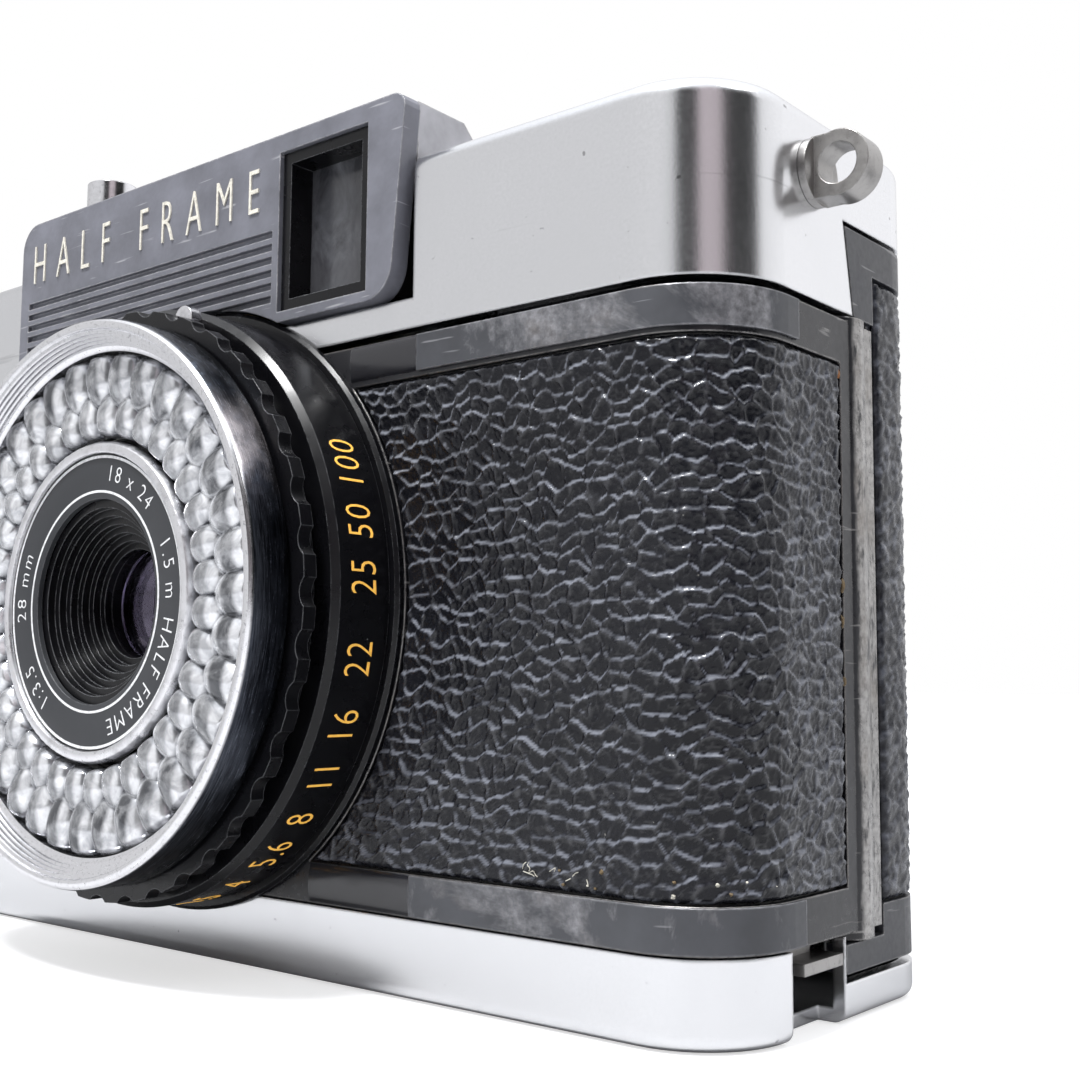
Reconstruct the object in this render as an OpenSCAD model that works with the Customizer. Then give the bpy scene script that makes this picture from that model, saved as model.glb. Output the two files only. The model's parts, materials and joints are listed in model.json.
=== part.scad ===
// Half frame camera: a compact viewfinder camera with a hinged back, a ring-shaped
// light meter round the lens, a thumb wheel for the film and a fold-out rewind crank.
// Millimetres. +Z is up, the lens looks along -Y, and the origin is the middle of the
// tripod socket's mouth, in the plane that the camera stands on.

/* [Body] */
// Width of the body without the strap lugs
body_w = 121; // [120:0.5:124]
// Depth of the body without the lens
body_d = 29.5; // [29.5:0.25:31]
// Plan radius of the two front corners
corner_front_r = 7.5; // [6.5:0.5:8.5]
// Plan radius of the two rear corners
corner_rear_r = 5; // [4.5:0.5:6]
// Thickness of the leatherette
leather_t = 0.6; // [0.4:0.1:0.7]
// Height of the bottom cover
bottom_h = 5.9; // [5.6:0.1:5.9]
// Height of the casting's top edge, under the top cover
waist_top = 50; // [49.5:0.1:50]
// Height of the top cover's deck
deck_z = 64.7; // [64.7:0.1:66]
// Wall of the top and bottom covers
cover_wall = 1; // [0.8:0.1:1]

/* [Lens] */
// Sideways place of the lens axis
lens_x = 6; // [4:0.5:8]
// Height of the lens axis
lens_z = 29.8; // [29.4:0.1:30.2]
// Outer radius of the polished bezel
bezel_r = 23; // [22.9:0.1:23.4]
// Wall radius of the filter thread
filter_r = 21.2; // [21.15:0.05:21.4]
// How far the bezel's front stands off the body
barrel_reach = 12.5; // [12.3:0.1:13.5]
// Radius of the aperture number ring
number_ring_r = 25; // [24.8:0.1:25.2]
// Scallops round the film speed ring
scallops = 40; // [24:1:48]

/* [Nameplate and finder] */
// Left edge of the nameplate
plate_left = -23; // [-25:0.5:-22]
// Right edge of the nameplate at its top
plate_right = 32; // [31:0.5:33]
// Bottom edge of the nameplate
plate_bottom = 53.2; // [53:0.1:53.4]
// Top edge of the nameplate
plate_top = 69.5; // [69:0.1:70.5]
// How far the nameplate stands proud of the body
plate_proud = 1; // [0.8:0.1:1.2]
// Grooves across the nameplate
plate_grooves = 6; // [3:1:6]
// Sideways place of the finder window
finder_x = 22.55; // [22:0.05:23]

/* [Film] */
// Radius of the cassette and take-up chambers
chamber_r = 12.8; // [12.6:0.1:12.9]
// Sideways place of the cassette chamber
cassette_x = 43.8; // [43.5:0.1:44]
// Sideways place of the take-up spool
spool_x = -43; // [-43.5:0.1:-42.5]
// Width of the picture along the film
picture_w = 18; // [17:0.5:19]
// Height of the picture
picture_h = 24; // [23:0.5:25]

/* [Controls] */
// Radius of the film advance wheel
wheel_r = 14.8; // [14.4:0.1:14.8]
// Notches round the advance wheel
wheel_notches = 60; // [30:1:72]
// Radius of the rewind knob
rewind_knob_r = 9.2; // [8.5:0.1:9.5]
// Height of the shutter button's top
button_top = 74.3; // [73:0.1:75]

/* [Hidden] */
$fn = 64;

run = 0.05;                 // radial clearance of a turning or sliding shaft
gap = 0.1;                  // clearance between pieces that only sit side by side
big = 80;                   // larger than any part, for cutting halves away
half_w = body_w / 2;
half_d = body_d / 2;
front_y = -half_d;
rear_y = half_d;

// Heights of the waist
waist_bottom = bottom_h + 0.15;
leather_bottom = 9.3;
leather_top = 46.6;
cover_bottom = 50.6;
deck_t = 1.2;
rim_r = 1.4;

// The back door and its hinge
door_t = 1.6;
door_bottom = 3.3;
door_top = 57.2;
door_leather_bottom = 7.6;
door_leather_top = 54.2;
casting_rear_y = 12.4;
flank_x = half_w - 2.4;
hinge_x = -half_w + 1.9;
hinge_y = 3.4;
knuckle_r = 1.9;
pin_r = 0.8;
strip_r = 2.65;
door_front_y = 6.25;
hinge_side_front_y = 5.9;
door_knuckles = [[12, 22], [34, 44]];
body_knuckles = [[6.5, 11.9], [22.1, 33.9], [44.1, 49.9]];

// Film path
cassette_y = 0.2;
spool_y = 1.2;
sprocket_y = 4;
gear_module = 1;
advance_teeth = 22;
sprocket_teeth_gear = 16;
gear_centres = gear_module * (advance_teeth + sprocket_teeth_gear) / 2;
sprocket_rise = sprocket_y - spool_y;
sprocket_x = spool_x + sqrt(gear_centres * gear_centres - sprocket_rise * sprocket_rise);
mesh_angle = asin(sprocket_rise / gear_centres);
sprocket_r = 6.05;
sprocket_pocket_r = 7.3;
gate_floor_y = 7.5;
gate_face_y = 9.1;
well_r = 20;
well_floor_y = -9;
frame_top = 56.6;
frame_bottom = 3.4;

// Shafts and controls
advance_shaft_r = 2;
sprocket_shaft_r = 1.5;
rewind_shaft_r = 2;
button_x = -17;
button_y = -9.5;
button_r = 2.5;
lug_y = -2.8;
lug_z = 59.8;
lug_hole_r = 1.5;
lug_reach = 2.4;
socket_r = 3.175;
dial_x = -38;
dial_y = -4;
shoe_x = 4;
shoe_y = 4.9;
eyepiece_z = 60.9;
window_z = 61;
hood_top = 69.2;
hood_rear_y = -4.6;

// Colours
satin = [0.80, 0.80, 0.81];
worn_black = [0.16, 0.16, 0.17];
leather_black = [0.06, 0.06, 0.065];
plate_grey = [0.33, 0.33, 0.37];
gloss_black = [0.03, 0.03, 0.035];
chrome_grey = [0.72, 0.72, 0.74];
brass = [0.75, 0.60, 0.32];
clear = [0.82, 0.86, 0.88, 0.45];

// ---------------------------------------------------------------- helpers

// Plan of the body, drawn in by inset all round
module outline(inset = 0) {
  w = half_w - inset;
  d = half_d - inset;
  rf = corner_front_r - inset;
  rr = corner_rear_r - inset;
  translate([-w, -d + rf]) square([2 * w, 2 * d - rf - rr]);
  translate([-w + rf, -d]) square([2 * (w - rf), d]);
  translate([-w + rr, 0]) square([2 * (w - rr), d]);
  for (side = [-1, 1]) {
    translate([side * (w - rf), -d + rf]) circle(rf);
    translate([side * (w - rr), d - rr]) circle(rr);
  }
}

// A half section from the middle out to reach, with its top outer edge rounded
module rim_profile(reach, h, rim) {
  square([reach, h - rim]);
  square([reach - rim, h]);
  translate([reach - rim, h - rim]) circle(rim);
}

// A block with the body's plan and a rounded top edge
module rimmed_block(inset, h, rim) {
  w = half_w - inset;
  d = half_d - inset;
  for (side = [-1, 1]) {
    r = (side < 0 ? corner_front_r : corner_rear_r) - inset;
    translate([-(w - r), 0, 0])
      rotate([90, 0, 90])
        linear_extrude(2 * (w - r)) mirror([side < 0 ? 1 : 0, 0]) rim_profile(d, h, rim);
    for (end = [-1, 1])
      translate([end * (w - r), side * (d - r), 0]) rotate_extrude() rim_profile(r, h, rim);
  }
  for (end = [-1, 1])
    translate([0, d - corner_rear_r + inset, 0])
      rotate([90, 0, 0])
        linear_extrude(2 * d - corner_front_r - corner_rear_r + 2 * inset)
          mirror([end < 0 ? 1 : 0, 0]) rim_profile(w, h, rim);
}

// A box given by its lowest and highest corners
module block(low, high) {
  translate(low) cube(high - low);
}

// An upright cylinder between two heights
module post(x, y, r, z0, z1) {
  translate([x, y, z0]) cylinder(r = r, h = z1 - z0);
}

// A cylinder along X or along Y between two stations
module bar_x(y, z, r, x0, x1) {
  translate([x0, y, z]) rotate([0, 90, 0]) cylinder(r = r, h = x1 - x0);
}
module bar_y(x, z, r, y0, y1) {
  translate([x, y1, z]) rotate([90, 0, 0]) cylinder(r = r, h = y1 - y0);
}

// Puts its children on the lens axis: local Z runs forward from the body's front plane
module on_lens() {
  translate([lens_x, front_y, lens_z]) rotate([90, 0, 0]) children();
}

// A ring on the local Z axis
module ring(r_in, r_out, h0, h1) {
  translate([0, 0, h0]) difference() {
    cylinder(r = r_out, h = h1 - h0);
    translate([0, 0, -1]) cylinder(r = r_in, h = h1 - h0 + 2);
  }
}

function polar(r, a) = [r * cos(a), r * sin(a)];
function arc(cx, cy, r, a0, a1, steps = 8) =
  [for (i = [0 : steps]) [cx, cy] + polar(r, a0 + (a1 - a0) * i / steps)];

// Involute gear outline, with a tooth on the +X axis
pressure_angle = 20;
backlash_angle = 0.35;
function inv_deg(a) = tan(a) * 180 / PI - a;
function flank_angle(r, rb, n) =
  90 / n - backlash_angle + inv_deg(pressure_angle) - inv_deg(acos(min(1, rb / max(r, rb))));
function gear_points(n) =
  let (rp = gear_module * n / 2,
       rb = rp * cos(pressure_angle),
       tip = rp + 0.85 * gear_module,
       root = rp - 1.2 * gear_module,
       radii = [for (i = [0 : 5]) rb + (tip - rb) * i / 5])
  [for (t = [0 : n - 1]) let (c = 360 * t / n) each concat(
    [polar(root, c - flank_angle(rb, rb, n))],
    [for (r = radii) polar(r, c - flank_angle(r, rb, n))],
    [for (i = [5 : -1 : 0]) polar(radii[i], c + flank_angle(radii[i], rb, n))],
    [polar(root, c + flank_angle(rb, rb, n))])];

// ---------------------------------------------------------------- body

// Plan of the casting's waist: full width in front, narrow flanks inside the door
module waist_plan() {
  intersection() {
    outline(0);
    union() {
      translate([-big, -big]) square([2 * big, big + hinge_y]);
      translate([0, -big]) square([big, big + hinge_side_front_y]);
    }
  }
  intersection() {
    outline(door_t + gap);
    translate([-flank_x, 0]) square([2 * flank_x, casting_rear_y]);
  }
}

// Shallow band round the front and sides that the leatherette fills
module leather_band(inner, z0, z1, rear_limit) {
  translate([0, 0, z0]) linear_extrude(z1 - z0) difference() {
    intersection() {
      outline(0);
      translate([-big, -big]) square([2 * big, big + rear_limit]);
    }
    outline(inner);
  }
}

// Chamber with a round front and an opening to the rear
module film_chamber(x, y, r, z0, z1) {
  post(x, y, r, z0, z1);
  block([x - r, y, z0], [x + r, big, z1]);
}

module casting_solids() {
  translate([0, 0, waist_bottom]) linear_extrude(waist_top - waist_bottom) waist_plan();
  // Rear frame above and below the waist, inside the covers
  block([-flank_x + 0.5, 6.5, waist_top - 1], [flank_x - 0.5, casting_rear_y, frame_top]);
  block([-flank_x + 0.5, 6.5, frame_bottom], [flank_x - 0.5, casting_rear_y, waist_bottom + 1]);
  // Roof and floor of the cassette chamber
  intersection() {
    union() {
      post(cassette_x, cassette_y, chamber_r + 1.4, waist_top - 1, frame_top - 1);
      post(cassette_x, cassette_y, chamber_r + 1.2, frame_bottom, waist_bottom + 1);
    }
    block([0, -half_d + 1.3, 0], [flank_x - 0.5, casting_rear_y, 60]);
  }
  // Roof of the take-up chamber
  block([-flank_x + 0.5, -10, waist_top - 1], [sprocket_x + 8, casting_rear_y, frame_top - 2]);
  // Lugs that the cover screws go into
  block([50, 8.9, frame_top - 1], [54, casting_rear_y, 62.8]);
  block([-half_w + 1.9, -10, waist_top - 1], [-half_w + 4.4, -6, 58.2]);
  // Worn half-round strip that the door closes against
  post(half_w - 2.3, hinge_y, strip_r, bottom_h - 0.5, waist_top + 0.4);
  // Hinge knuckles
  for (k = body_knuckles) {
    post(hinge_x, hinge_y, knuckle_r, k[0], k[1]);
    block([hinge_x, hinge_y - 1.2, k[0]], [hinge_x + 3, hinge_y + 1.2, k[1]]);
  }
}

module body_casting() color(worn_black) difference() {
  casting_solids();
  // Groove round the door's knuckles, open to the side where their webs swing
  for (k = door_knuckles) {
    post(hinge_x, hinge_y, knuckle_r + 0.25, k[0] - gap, k[1] + gap);
    block([-big, hinge_y - 2.6, k[0] - gap], [hinge_x + 0.5, hinge_y + 3, k[1] + gap]);
  }
  for (z = [[waist_bottom - 1, body_knuckles[0][0]], [body_knuckles[2][1], waist_top + 1]])
    post(hinge_x, hinge_y, knuckle_r + 0.25, z[0], z[1]);
  post(hinge_x, hinge_y, pin_r, 0, waist_top + 1);
  // Recess for the leatherette, leaving the round pad behind the lens
  difference() {
    leather_band(leather_t, leather_bottom - gap, leather_top + gap, hinge_y - strip_r);
    on_lens() cylinder(r = number_ring_r + 0.9, h = 4, center = true);
  }
  // Well for the shutter and the dark tunnel behind it
  bar_y(lens_x, lens_z, well_r, -big, well_floor_y);
  block([lens_x - picture_w / 2 - 0.6, well_floor_y - 1, lens_z - picture_h / 2 - 0.7],
        [lens_x + picture_w / 2 + 0.6, big, lens_z + picture_h / 2 + 0.7]);
  // Film chambers
  film_chamber(cassette_x, cassette_y, chamber_r, 4.6, 54.4);
  film_chamber(spool_x, spool_y, chamber_r, 8, 51);
  film_chamber(sprocket_x, sprocket_y, sprocket_pocket_r, 8, 52);
  block([sprocket_x, gate_floor_y, 11.8], [cassette_x, big, 47.9]);
  // Shaft bores
  post(cassette_x, cassette_y, rewind_shaft_r + run, 50, 60);
  post(spool_x, spool_y, advance_shaft_r + run, 6.6, 60);
  post(sprocket_x, sprocket_y, sprocket_shaft_r + run, 50, 60);
  post(sprocket_x, sprocket_y, 2.7, 0, 7.5);
  // Slot for the door latch
  block([half_w - 2.7, -5.4, 0], [half_w - 1.6, -1.6, 17]);
  // Screw holes
  for (p = base_screw_places) post(p[0], p[1], 0.9, 0, 9.2);
  on_lens() for (a = lens_screw_angles) rotate(a)
    translate([lens_screw_circle, 0, -4.8]) cylinder(r = 0.7, h = 8);
  bar_y(52, 60.9, 0.8, 9.5, big);
  bar_x(-8, 56, 0.8, -big, -half_w + 4);
}

module front_leather() color(leather_black) difference() {
  leather_band(leather_t - 0.02, leather_bottom, leather_top, hinge_y - strip_r - 0.1);
  on_lens() cylinder(r = number_ring_r + 1, h = 4, center = true);
}

// Thin worn plates wrapped round the front corners, over the casting's two bands
trim_start_x = 32.9;
trim_end_y = -5.7;
trim_proud = 0.25;
module trim_plates() color([0.30, 0.30, 0.31])
  for (z = [[waist_bottom + 0.1, leather_bottom - 0.15], [leather_top + 0.5, waist_top - 0.05]])
    translate([0, 0, z[0]]) linear_extrude(z[1] - z[0])
      for (side = [-1, 1]) intersection() {
        difference() {
          outline(-trim_proud);
          outline(-0.01);
        }
        translate([side > 0 ? trim_start_x : -big, -big])
          square([big - trim_start_x, big + trim_end_y]);
      }

// ---------------------------------------------------------------- covers

// Hollow cover with the body's plan, its closed end at the top
module cover_shell(h, top_t, rim) difference() {
  rimmed_block(0, h, rim);
  translate([0, 0, -1])
    linear_extrude(h - top_t + 1) outline(cover_wall);
}

// Room for the door, with space on the hinge side for its front edge to swing out
module door_room(z0, z1) {
  block([-big, hinge_side_front_y - 1, z0], [0, big, z1]);
  block([0, hinge_side_front_y - 0.3, z0], [big, big, z1]);
}

// Room for the door at the top, with the slanted front edge of its ear
module upper_door_room() {
  door_room(40, door_top + 0.4);
  translate([half_w - 3, 0, 0]) rotate([90, 0, 90]) linear_extrude(10)
    polygon([[2.85, 40], [2.85, cover_bottom], [1.5, door_top + 0.4], [8, door_top + 0.4], [8, 40]]);
}

module top_cover() color(satin) {
  difference() {
    translate([0, 0, cover_bottom]) cover_shell(deck_z - cover_bottom, deck_t, rim_r);
    // Cut-out for the nameplate and the hood behind it
    block([plate_left - 0.3, -big, plate_bottom - 0.2], [plate_right + 0.2, hood_rear_y + gap, big]);
    upper_door_room();
    // Slot that the advance wheel looks out of
    block([spool_x - 11, 8, 59], [spool_x + 11, big, 62.3]);
    bar_y(finder_x, eyepiece_z, 2.95, 5, big);
    post(cassette_x, cassette_y, rewind_shaft_r + 0.2, 60, 70);
    post(dial_x, dial_y - 4.6, 2.2, 60, 70);
    for (side = [-1, 1]) bar_x(lug_y, lug_z, 1.5, side > 0 ? 50 : -70, side > 0 ? 70 : -50);
    for (p = shoe_screw_places) post(p[0], p[1], 0.75, 60, 70);
    bar_y(52, 60.9, 0.85, 13, big);
    bar_x(-8, 56, 0.85, -big, -half_w + 2);
  }
  // Stud under the deck that the counter dial turns on
  post(dial_x, dial_y, 1.2, 62.2, deck_z - deck_t + 0.2);
}

module bottom_cover() color(satin) difference() {
  translate([0, 0, bottom_h]) mirror([0, 0, 1]) cover_shell(bottom_h, cover_wall, 1);
  // Room for the door's lower edge and its ear
  door_room(door_bottom - 0.2, 10);
  block([half_w - 3, 0.25, door_bottom - 0.6], [big, big, 10]);
  // Notch for the latch tab
  block([half_w - 2.2, -7.25, -1], [big, 0.15, 10]);
  post(0, 0, 6.1, -1, 5);
  post(sprocket_x, sprocket_y, 2.4 + run, -1, 5);
  for (p = base_screw_places) {
    post(p[0], p[1], 0.95, -1, 5);
    post(p[0], p[1], 2, -1, 0.55);
  }
}

// ---------------------------------------------------------------- nameplate and finder

plate_back_y = -14;
window_half_w = 5.35;
window_half_h = 6.9;

// Front outline of the nameplate, seen from the front
function plate_outline() = concat(
  arc(plate_left + 2.4, plate_bottom + 2.4, 2.4, 180, 270),
  arc(plate_right - 4.2, plate_bottom + 3, 3, 270, 353),
  arc(plate_right - 1.2, plate_top - 1.2, 1.2, 0, 90, 4),
  arc(plate_left + 2.6, plate_top - 2.6, 2.6, 90, 180));

module plate_slab(y0, y1) {
  translate([0, y1, 0]) rotate([90, 0, 0]) linear_extrude(y1 - y0) polygon(plate_outline());
}

module nameplate() color(plate_grey) difference() {
  plate_slab(front_y - plate_proud, plate_back_y);
  // Finder opening
  block([finder_x - window_half_w, -big, window_z - window_half_h],
        [finder_x + window_half_w, 0, window_z + window_half_h]);
  // Grooves
  for (i = [0 : plate_grooves - 1])
    block([plate_left + 1.5, -big, 60.7 - 1.13 * i],
          [16.4, front_y - plate_proud + 0.5, 61.3 - 1.13 * i]);
  // Hollow that clears the lens rings
  on_lens() cylinder(r = number_ring_r + 1, h = 9, center = true);
}

// Side view of the hood, drawn in by t at its roof and back
function hood_profile(t, foot) = [
  [plate_back_y + 0.05, foot], [plate_back_y + 0.05, hood_top - t], [-8.6, hood_top - 0.1 - t],
  [hood_rear_y - t, deck_z + 0.5 - t], [hood_rear_y - t, foot]];

module finder_hood() color(plate_grey) difference() {
  translate([plate_left + 0.2, 0, 0]) rotate([90, 0, 90])
    linear_extrude(plate_right - plate_left - 0.5) polygon(hood_profile(0, 62));
  translate([plate_left + 1.2, 0, 0]) rotate([90, 0, 90])
    linear_extrude(plate_right - plate_left - 2.5) polygon(hood_profile(1, 60));
  block([plate_left + 1.2, plate_back_y - 1, 60], [plate_right - 1.3, plate_back_y + 1, hood_top - 1]);
  post(button_x, button_y, 2.9, 60, 80);
  // The sides start at the deck
  block([plate_left, -big, 60], [plate_right, big, deck_z - deck_t]);
}

module rect_ring(cx, cz, half_x, half_z, wall, y0, y1) difference() {
  block([cx - half_x, y0, cz - half_z], [cx + half_x, y1, cz + half_z]);
  block([cx - half_x + wall, y0 - 1, cz - half_z + wall], [cx + half_x - wall, y1 + 1, cz + half_z - wall]);
}

module finder_frame() color(gloss_black)
  rect_ring(finder_x, window_z, window_half_w - 0.05, window_half_h - 0.05, 1, front_y - 0.6, -12.4);

module finder_front_glass() color(clear)
  block([finder_x - 4.3, -13, window_z - 5.85], [finder_x + 4.3, -12.45, window_z + 5.85]);

module finder_tube() color(gloss_black) {
  rect_ring(finder_x, window_z, 4.9, 6.4, 0.6, -12.3, -9.2);
  rect_ring(finder_x, 60.3, 4.2, 3.1, 0.6, -8.6, 12.2);
  difference() {
    block([finder_x - 4.9, -9.2, window_z - 6.4], [finder_x + 4.9, -8.6, window_z + 6.4]);
    block([finder_x - 3.6, -10, 57.8], [finder_x + 3.6, -8, 62.8]);
  }
}

module eyepiece_ring() color(worn_black)
  translate([finder_x, 12.3, eyepiece_z]) rotate([-90, 0, 0]) {
    ring(2.2, 2.85, 0, 3);
    ring(2.2, 3.3, 2.5, 3);
  }

module eyepiece_glass() color(clear)
  bar_y(finder_x, eyepiece_z, 2.15, 13, 13.9);

// ---------------------------------------------------------------- top deck

shoe_half_w = 10.2;
shoe_half_l = 8.4;
shoe_base_z = deck_z + 0.02;
shoe_floor = 0.8;
shoe_roof = 3.1;
shoe_top = 3.7;
shoe_screw_places = [for (sx = [-1, 1], sy = [-1, 1]) [shoe_x + 6 * sx, shoe_y + 5 * sy]];

module accessory_shoe() color(chrome_grey) difference() {
  translate([shoe_x, shoe_y + shoe_half_l, shoe_base_z]) rotate([90, 0, 0])
    linear_extrude(2 * shoe_half_l) polygon([
      [-shoe_half_w, 0], [shoe_half_w, 0], [shoe_half_w, shoe_top], [6.3, shoe_top],
      [6.3, shoe_roof], [9.35, shoe_roof], [9.35, shoe_floor], [-9.35, shoe_floor],
      [-9.35, shoe_roof], [-6.3, shoe_roof], [-6.3, shoe_top], [-shoe_half_w, shoe_top]]);
  for (p = shoe_screw_places) {
    post(p[0], p[1], 0.75, 60, 70);
    post(p[0], p[1], 1.4, shoe_base_z + 0.35, shoe_base_z + 2);
  }
}

module shoe_contact() color(brass)
  post(shoe_x, shoe_y, 1.6, shoe_base_z + 0.82, shoe_base_z + 1);

base_screw_places = [[-55, -9.5], [55, -9.5], [26, -9.5]];

// A slotted screw along local -Z, its head's top at the origin
module screw(head_r, head_h, shank_r, length) difference() {
  union() {
    translate([0, 0, -head_h]) cylinder(r = head_r, h = head_h);
    translate([0, 0, -length]) cylinder(r = shank_r, h = length);
  }
  block([-head_r, -0.2, -head_h / 2], [head_r, 0.2, 1]);
}

module case_screws() color(chrome_grey) {
  for (p = base_screw_places)
    translate([p[0], p[1], 0.1]) rotate([180, 0, 0]) screw(1.9, 0.4, 0.88, 8.8);
  for (p = shoe_screw_places)
    translate([p[0], p[1], shoe_base_z + 0.76]) screw(1.35, 0.38, 0.72, 2.6);
  translate([52, rear_y + 0.45, 60.9]) rotate([-90, 0, 0]) screw(1.6, 0.42, 0.78, 4.6);
  translate([-half_w - 0.45, -8, 56]) rotate([0, -90, 0]) screw(1.6, 0.42, 0.78, 4);
}

module counter_dial() color([0.9, 0.9, 0.88]) difference() {
  post(dial_x, dial_y, 8, 62.5, 63);
  post(dial_x, dial_y, 1.2 + run, 60, 64);
  for (a = [0 : 12 : 348]) translate([dial_x, dial_y, 62.8]) rotate(a)
    block([5.6, -0.12, 0], [a % 60 == 0 ? 7 : 6.5, 0.12, 1]);
}

module counter_window() color(clear) {
  post(dial_x, dial_y - 4.6, 2.15, deck_z - deck_t, deck_z + 0.15);
}

button_foot_z = 57.7;
guide_floor_z = 58.6;
module shutter_button() color(chrome_grey) difference() {
  union() {
    post(button_x, button_y, button_r, 67.5, button_top);
    post(button_x, button_y, 1.3, button_foot_z, 68);
    post(button_x, button_y, 2.2, button_foot_z, button_foot_z + 0.6);
  }
  post(button_x, button_y, 1.35, button_top - 3, button_top + 1);
}

// Collar on the hood, with a guide tube below it that holds the button's spring
module button_collar() color(chrome_grey) translate([button_x, button_y, 0])
  rotate_extrude() polygon([
    [1.3 + run, guide_floor_z], [2.85, guide_floor_z], [2.85, hood_top + 0.02],
    [3.6, hood_top + 0.02], [3.6, hood_top + 1.2], [3.2, hood_top + 1.6],
    [button_r + run, hood_top + 1.6], [button_r + run, guide_floor_z + 0.8],
    [1.3 + run, guide_floor_z + 0.8]]);

// Coil round the button's stem, between the guide's floor and the button's head
spring_turns = 4;
spring_z = guide_floor_z + 0.85;
module release_spring() color(chrome_grey)
  translate([button_x, button_y, spring_z])
    linear_extrude(7.6, twist = -360 * spring_turns, slices = 16 * spring_turns)
      translate([1.95, 0]) circle(0.35, $fn = 6);

// ---------------------------------------------------------------- rewind

knob_z = deck_z + 0.2;
crank_pivot = -6.4;
crank_tip = 6.6;
crank_axis_z = knob_z + 2.65;

module rewind_knob() color(satin) translate([cassette_x, cassette_y, 0]) difference() {
  union() {
    post(0, 0, rewind_knob_r, knob_z, knob_z + 2.1);
    for (side = [-1, 1])
      block([crank_pivot - 0.8, side * 2.1 - 0.5, knob_z + 2], [crank_pivot + 0.8, side * 2.1 + 0.5, knob_z + 3.1]);
  }
  for (i = [0 : 35]) rotate(10 * i) post(rewind_knob_r + 0.25, 0, 0.5, knob_z - 1, knob_z + 4);
  post(0, 0, rewind_shaft_r + 0.01, knob_z - 1, knob_z + 1.2);
  bar_y(crank_pivot, crank_axis_z, 0.35 + run, -4, 4);
}

// The crank lies along +X and folds up and over its pivot
module rewind_crank() color(chrome_grey) translate([cassette_x, cassette_y, 0]) difference() {
  union() {
    block([crank_pivot, -1.5, crank_axis_z - 0.4], [crank_tip, 1.5, crank_axis_z + 0.4]);
    bar_y(crank_pivot, crank_axis_z, 0.42, -1.5, 1.5);
    bar_y(crank_pivot, crank_axis_z, 0.35, -2.6, 2.6);
    post(crank_tip, 0, 2, crank_axis_z - 0.4, crank_axis_z + 0.4);
  }
  post(crank_tip, 0, 0.6 + run, 0, 90);
}

module crank_grip() color(worn_black) translate([cassette_x + crank_tip, cassette_y, 0]) {
  post(0, 0, 1.9, crank_axis_z + 0.45, crank_axis_z + 1.1);
  post(0, 0, 0.6, crank_axis_z - 0.45, crank_axis_z + 0.6);
}

module rewind_shaft() color(chrome_grey) translate([cassette_x, cassette_y, 0]) difference() {
  post(0, 0, rewind_shaft_r, 50.4, knob_z + 1.15);
  for (side = [-1, 1])
    block([side > 0 ? 0.6 : -3, -3, 50], [side > 0 ? 3 : -0.6, 3, 53.4]);
}

module rewind_collar() color(brass)
  translate([cassette_x, cassette_y, 0]) ring(rewind_shaft_r + run, 3.4, 56, 58);

// ---------------------------------------------------------------- strap lugs

module strap_lug() {
  // Eyelet plate
  difference() {
    union() {
      block([half_w + 0.4, lug_y - 1.15, lug_z - 2.3], [half_w + lug_reach, lug_y + 1.15, lug_z + 2.3]);
      bar_y(half_w + lug_reach, lug_z, 2.4, lug_y - 1.15, lug_y + 1.15);
    }
    bar_y(half_w + lug_reach, lug_z, lug_hole_r, lug_y - 3, lug_y + 3);
  }
  // Round foot outside the cover, stem through it and riveted head inside
  bar_x(lug_y, lug_z, 2.5, half_w + 0.02, half_w + 0.6);
  bar_x(lug_y, lug_z, 1.45, half_w - 1.5, half_w + 0.3);
  bar_x(lug_y, lug_z, 2.2, half_w - 1.7, half_w - 1.05);
}

module strap_lugs() color([0.60, 0.60, 0.60]) {
  strap_lug();
  mirror([1, 0, 0]) strap_lug();
}

// ---------------------------------------------------------------- back door

module door_wall(inset_out, inset_in, z0, z1) {
  translate([0, 0, z0]) linear_extrude(z1 - z0) difference() {
    outline(inset_out);
    outline(inset_in);
    translate([-big, -big]) square([big, big + hinge_side_front_y]);
    translate([0, -big]) square([big, big + door_front_y]);
  }
}

// An ear on the latch side, above or below the half-round strip
module door_ear(points) {
  translate([half_w - door_t, 0, 0]) rotate([90, 0, 90]) linear_extrude(door_t) polygon(points);
}

module back_door() color([0.25, 0.25, 0.26]) difference() {
  union() {
    door_wall(0, door_t, door_bottom, door_top);
    door_ear([[3.15, cover_bottom - 0.05], [1.85, door_top], [door_front_y + 1, door_top],
              [door_front_y + 1, cover_bottom - 0.05]]);
    door_ear([[0.4, door_bottom], [0.4, 5.3], [door_front_y + 1, 5.3], [door_front_y + 1, door_bottom]]);
    for (k = door_knuckles) {
      post(hinge_x, hinge_y, knuckle_r, k[0], k[1]);
      block([-half_w, hinge_y, k[0]], [-half_w + 1.2, hinge_side_front_y + 1, k[1]]);
    }
  }
  post(hinge_x, hinge_y, pin_r + run, 0, 60);
  // Recess for the leatherette
  door_wall(-1, leather_t, door_leather_bottom - gap, door_leather_top + gap);
}

// Margin of bare metal along the door's two upright edges
door_margin = 0.9;
module door_leather() color(leather_black) intersection() {
  door_wall(0, leather_t - 0.02, door_leather_bottom, door_leather_top);
  block([-big, hinge_side_front_y + door_margin, 0], [big, big, 60]);
}

module hinge_pin() color(chrome_grey)
  post(hinge_x, hinge_y, pin_r, body_knuckles[0][0], body_knuckles[2][1]);

module pressure_plate() color(worn_black) difference() {
  block([lens_x - 17, 9.8, lens_z - 16.5], [lens_x + 17, 10.7, lens_z + 16.5]);
  for (sx = [-1, 1], sz = [-1, 1]) bar_y(lens_x + 14 * sx, lens_z + 13.5 * sz, 0.9, 5, 15);
}

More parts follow.
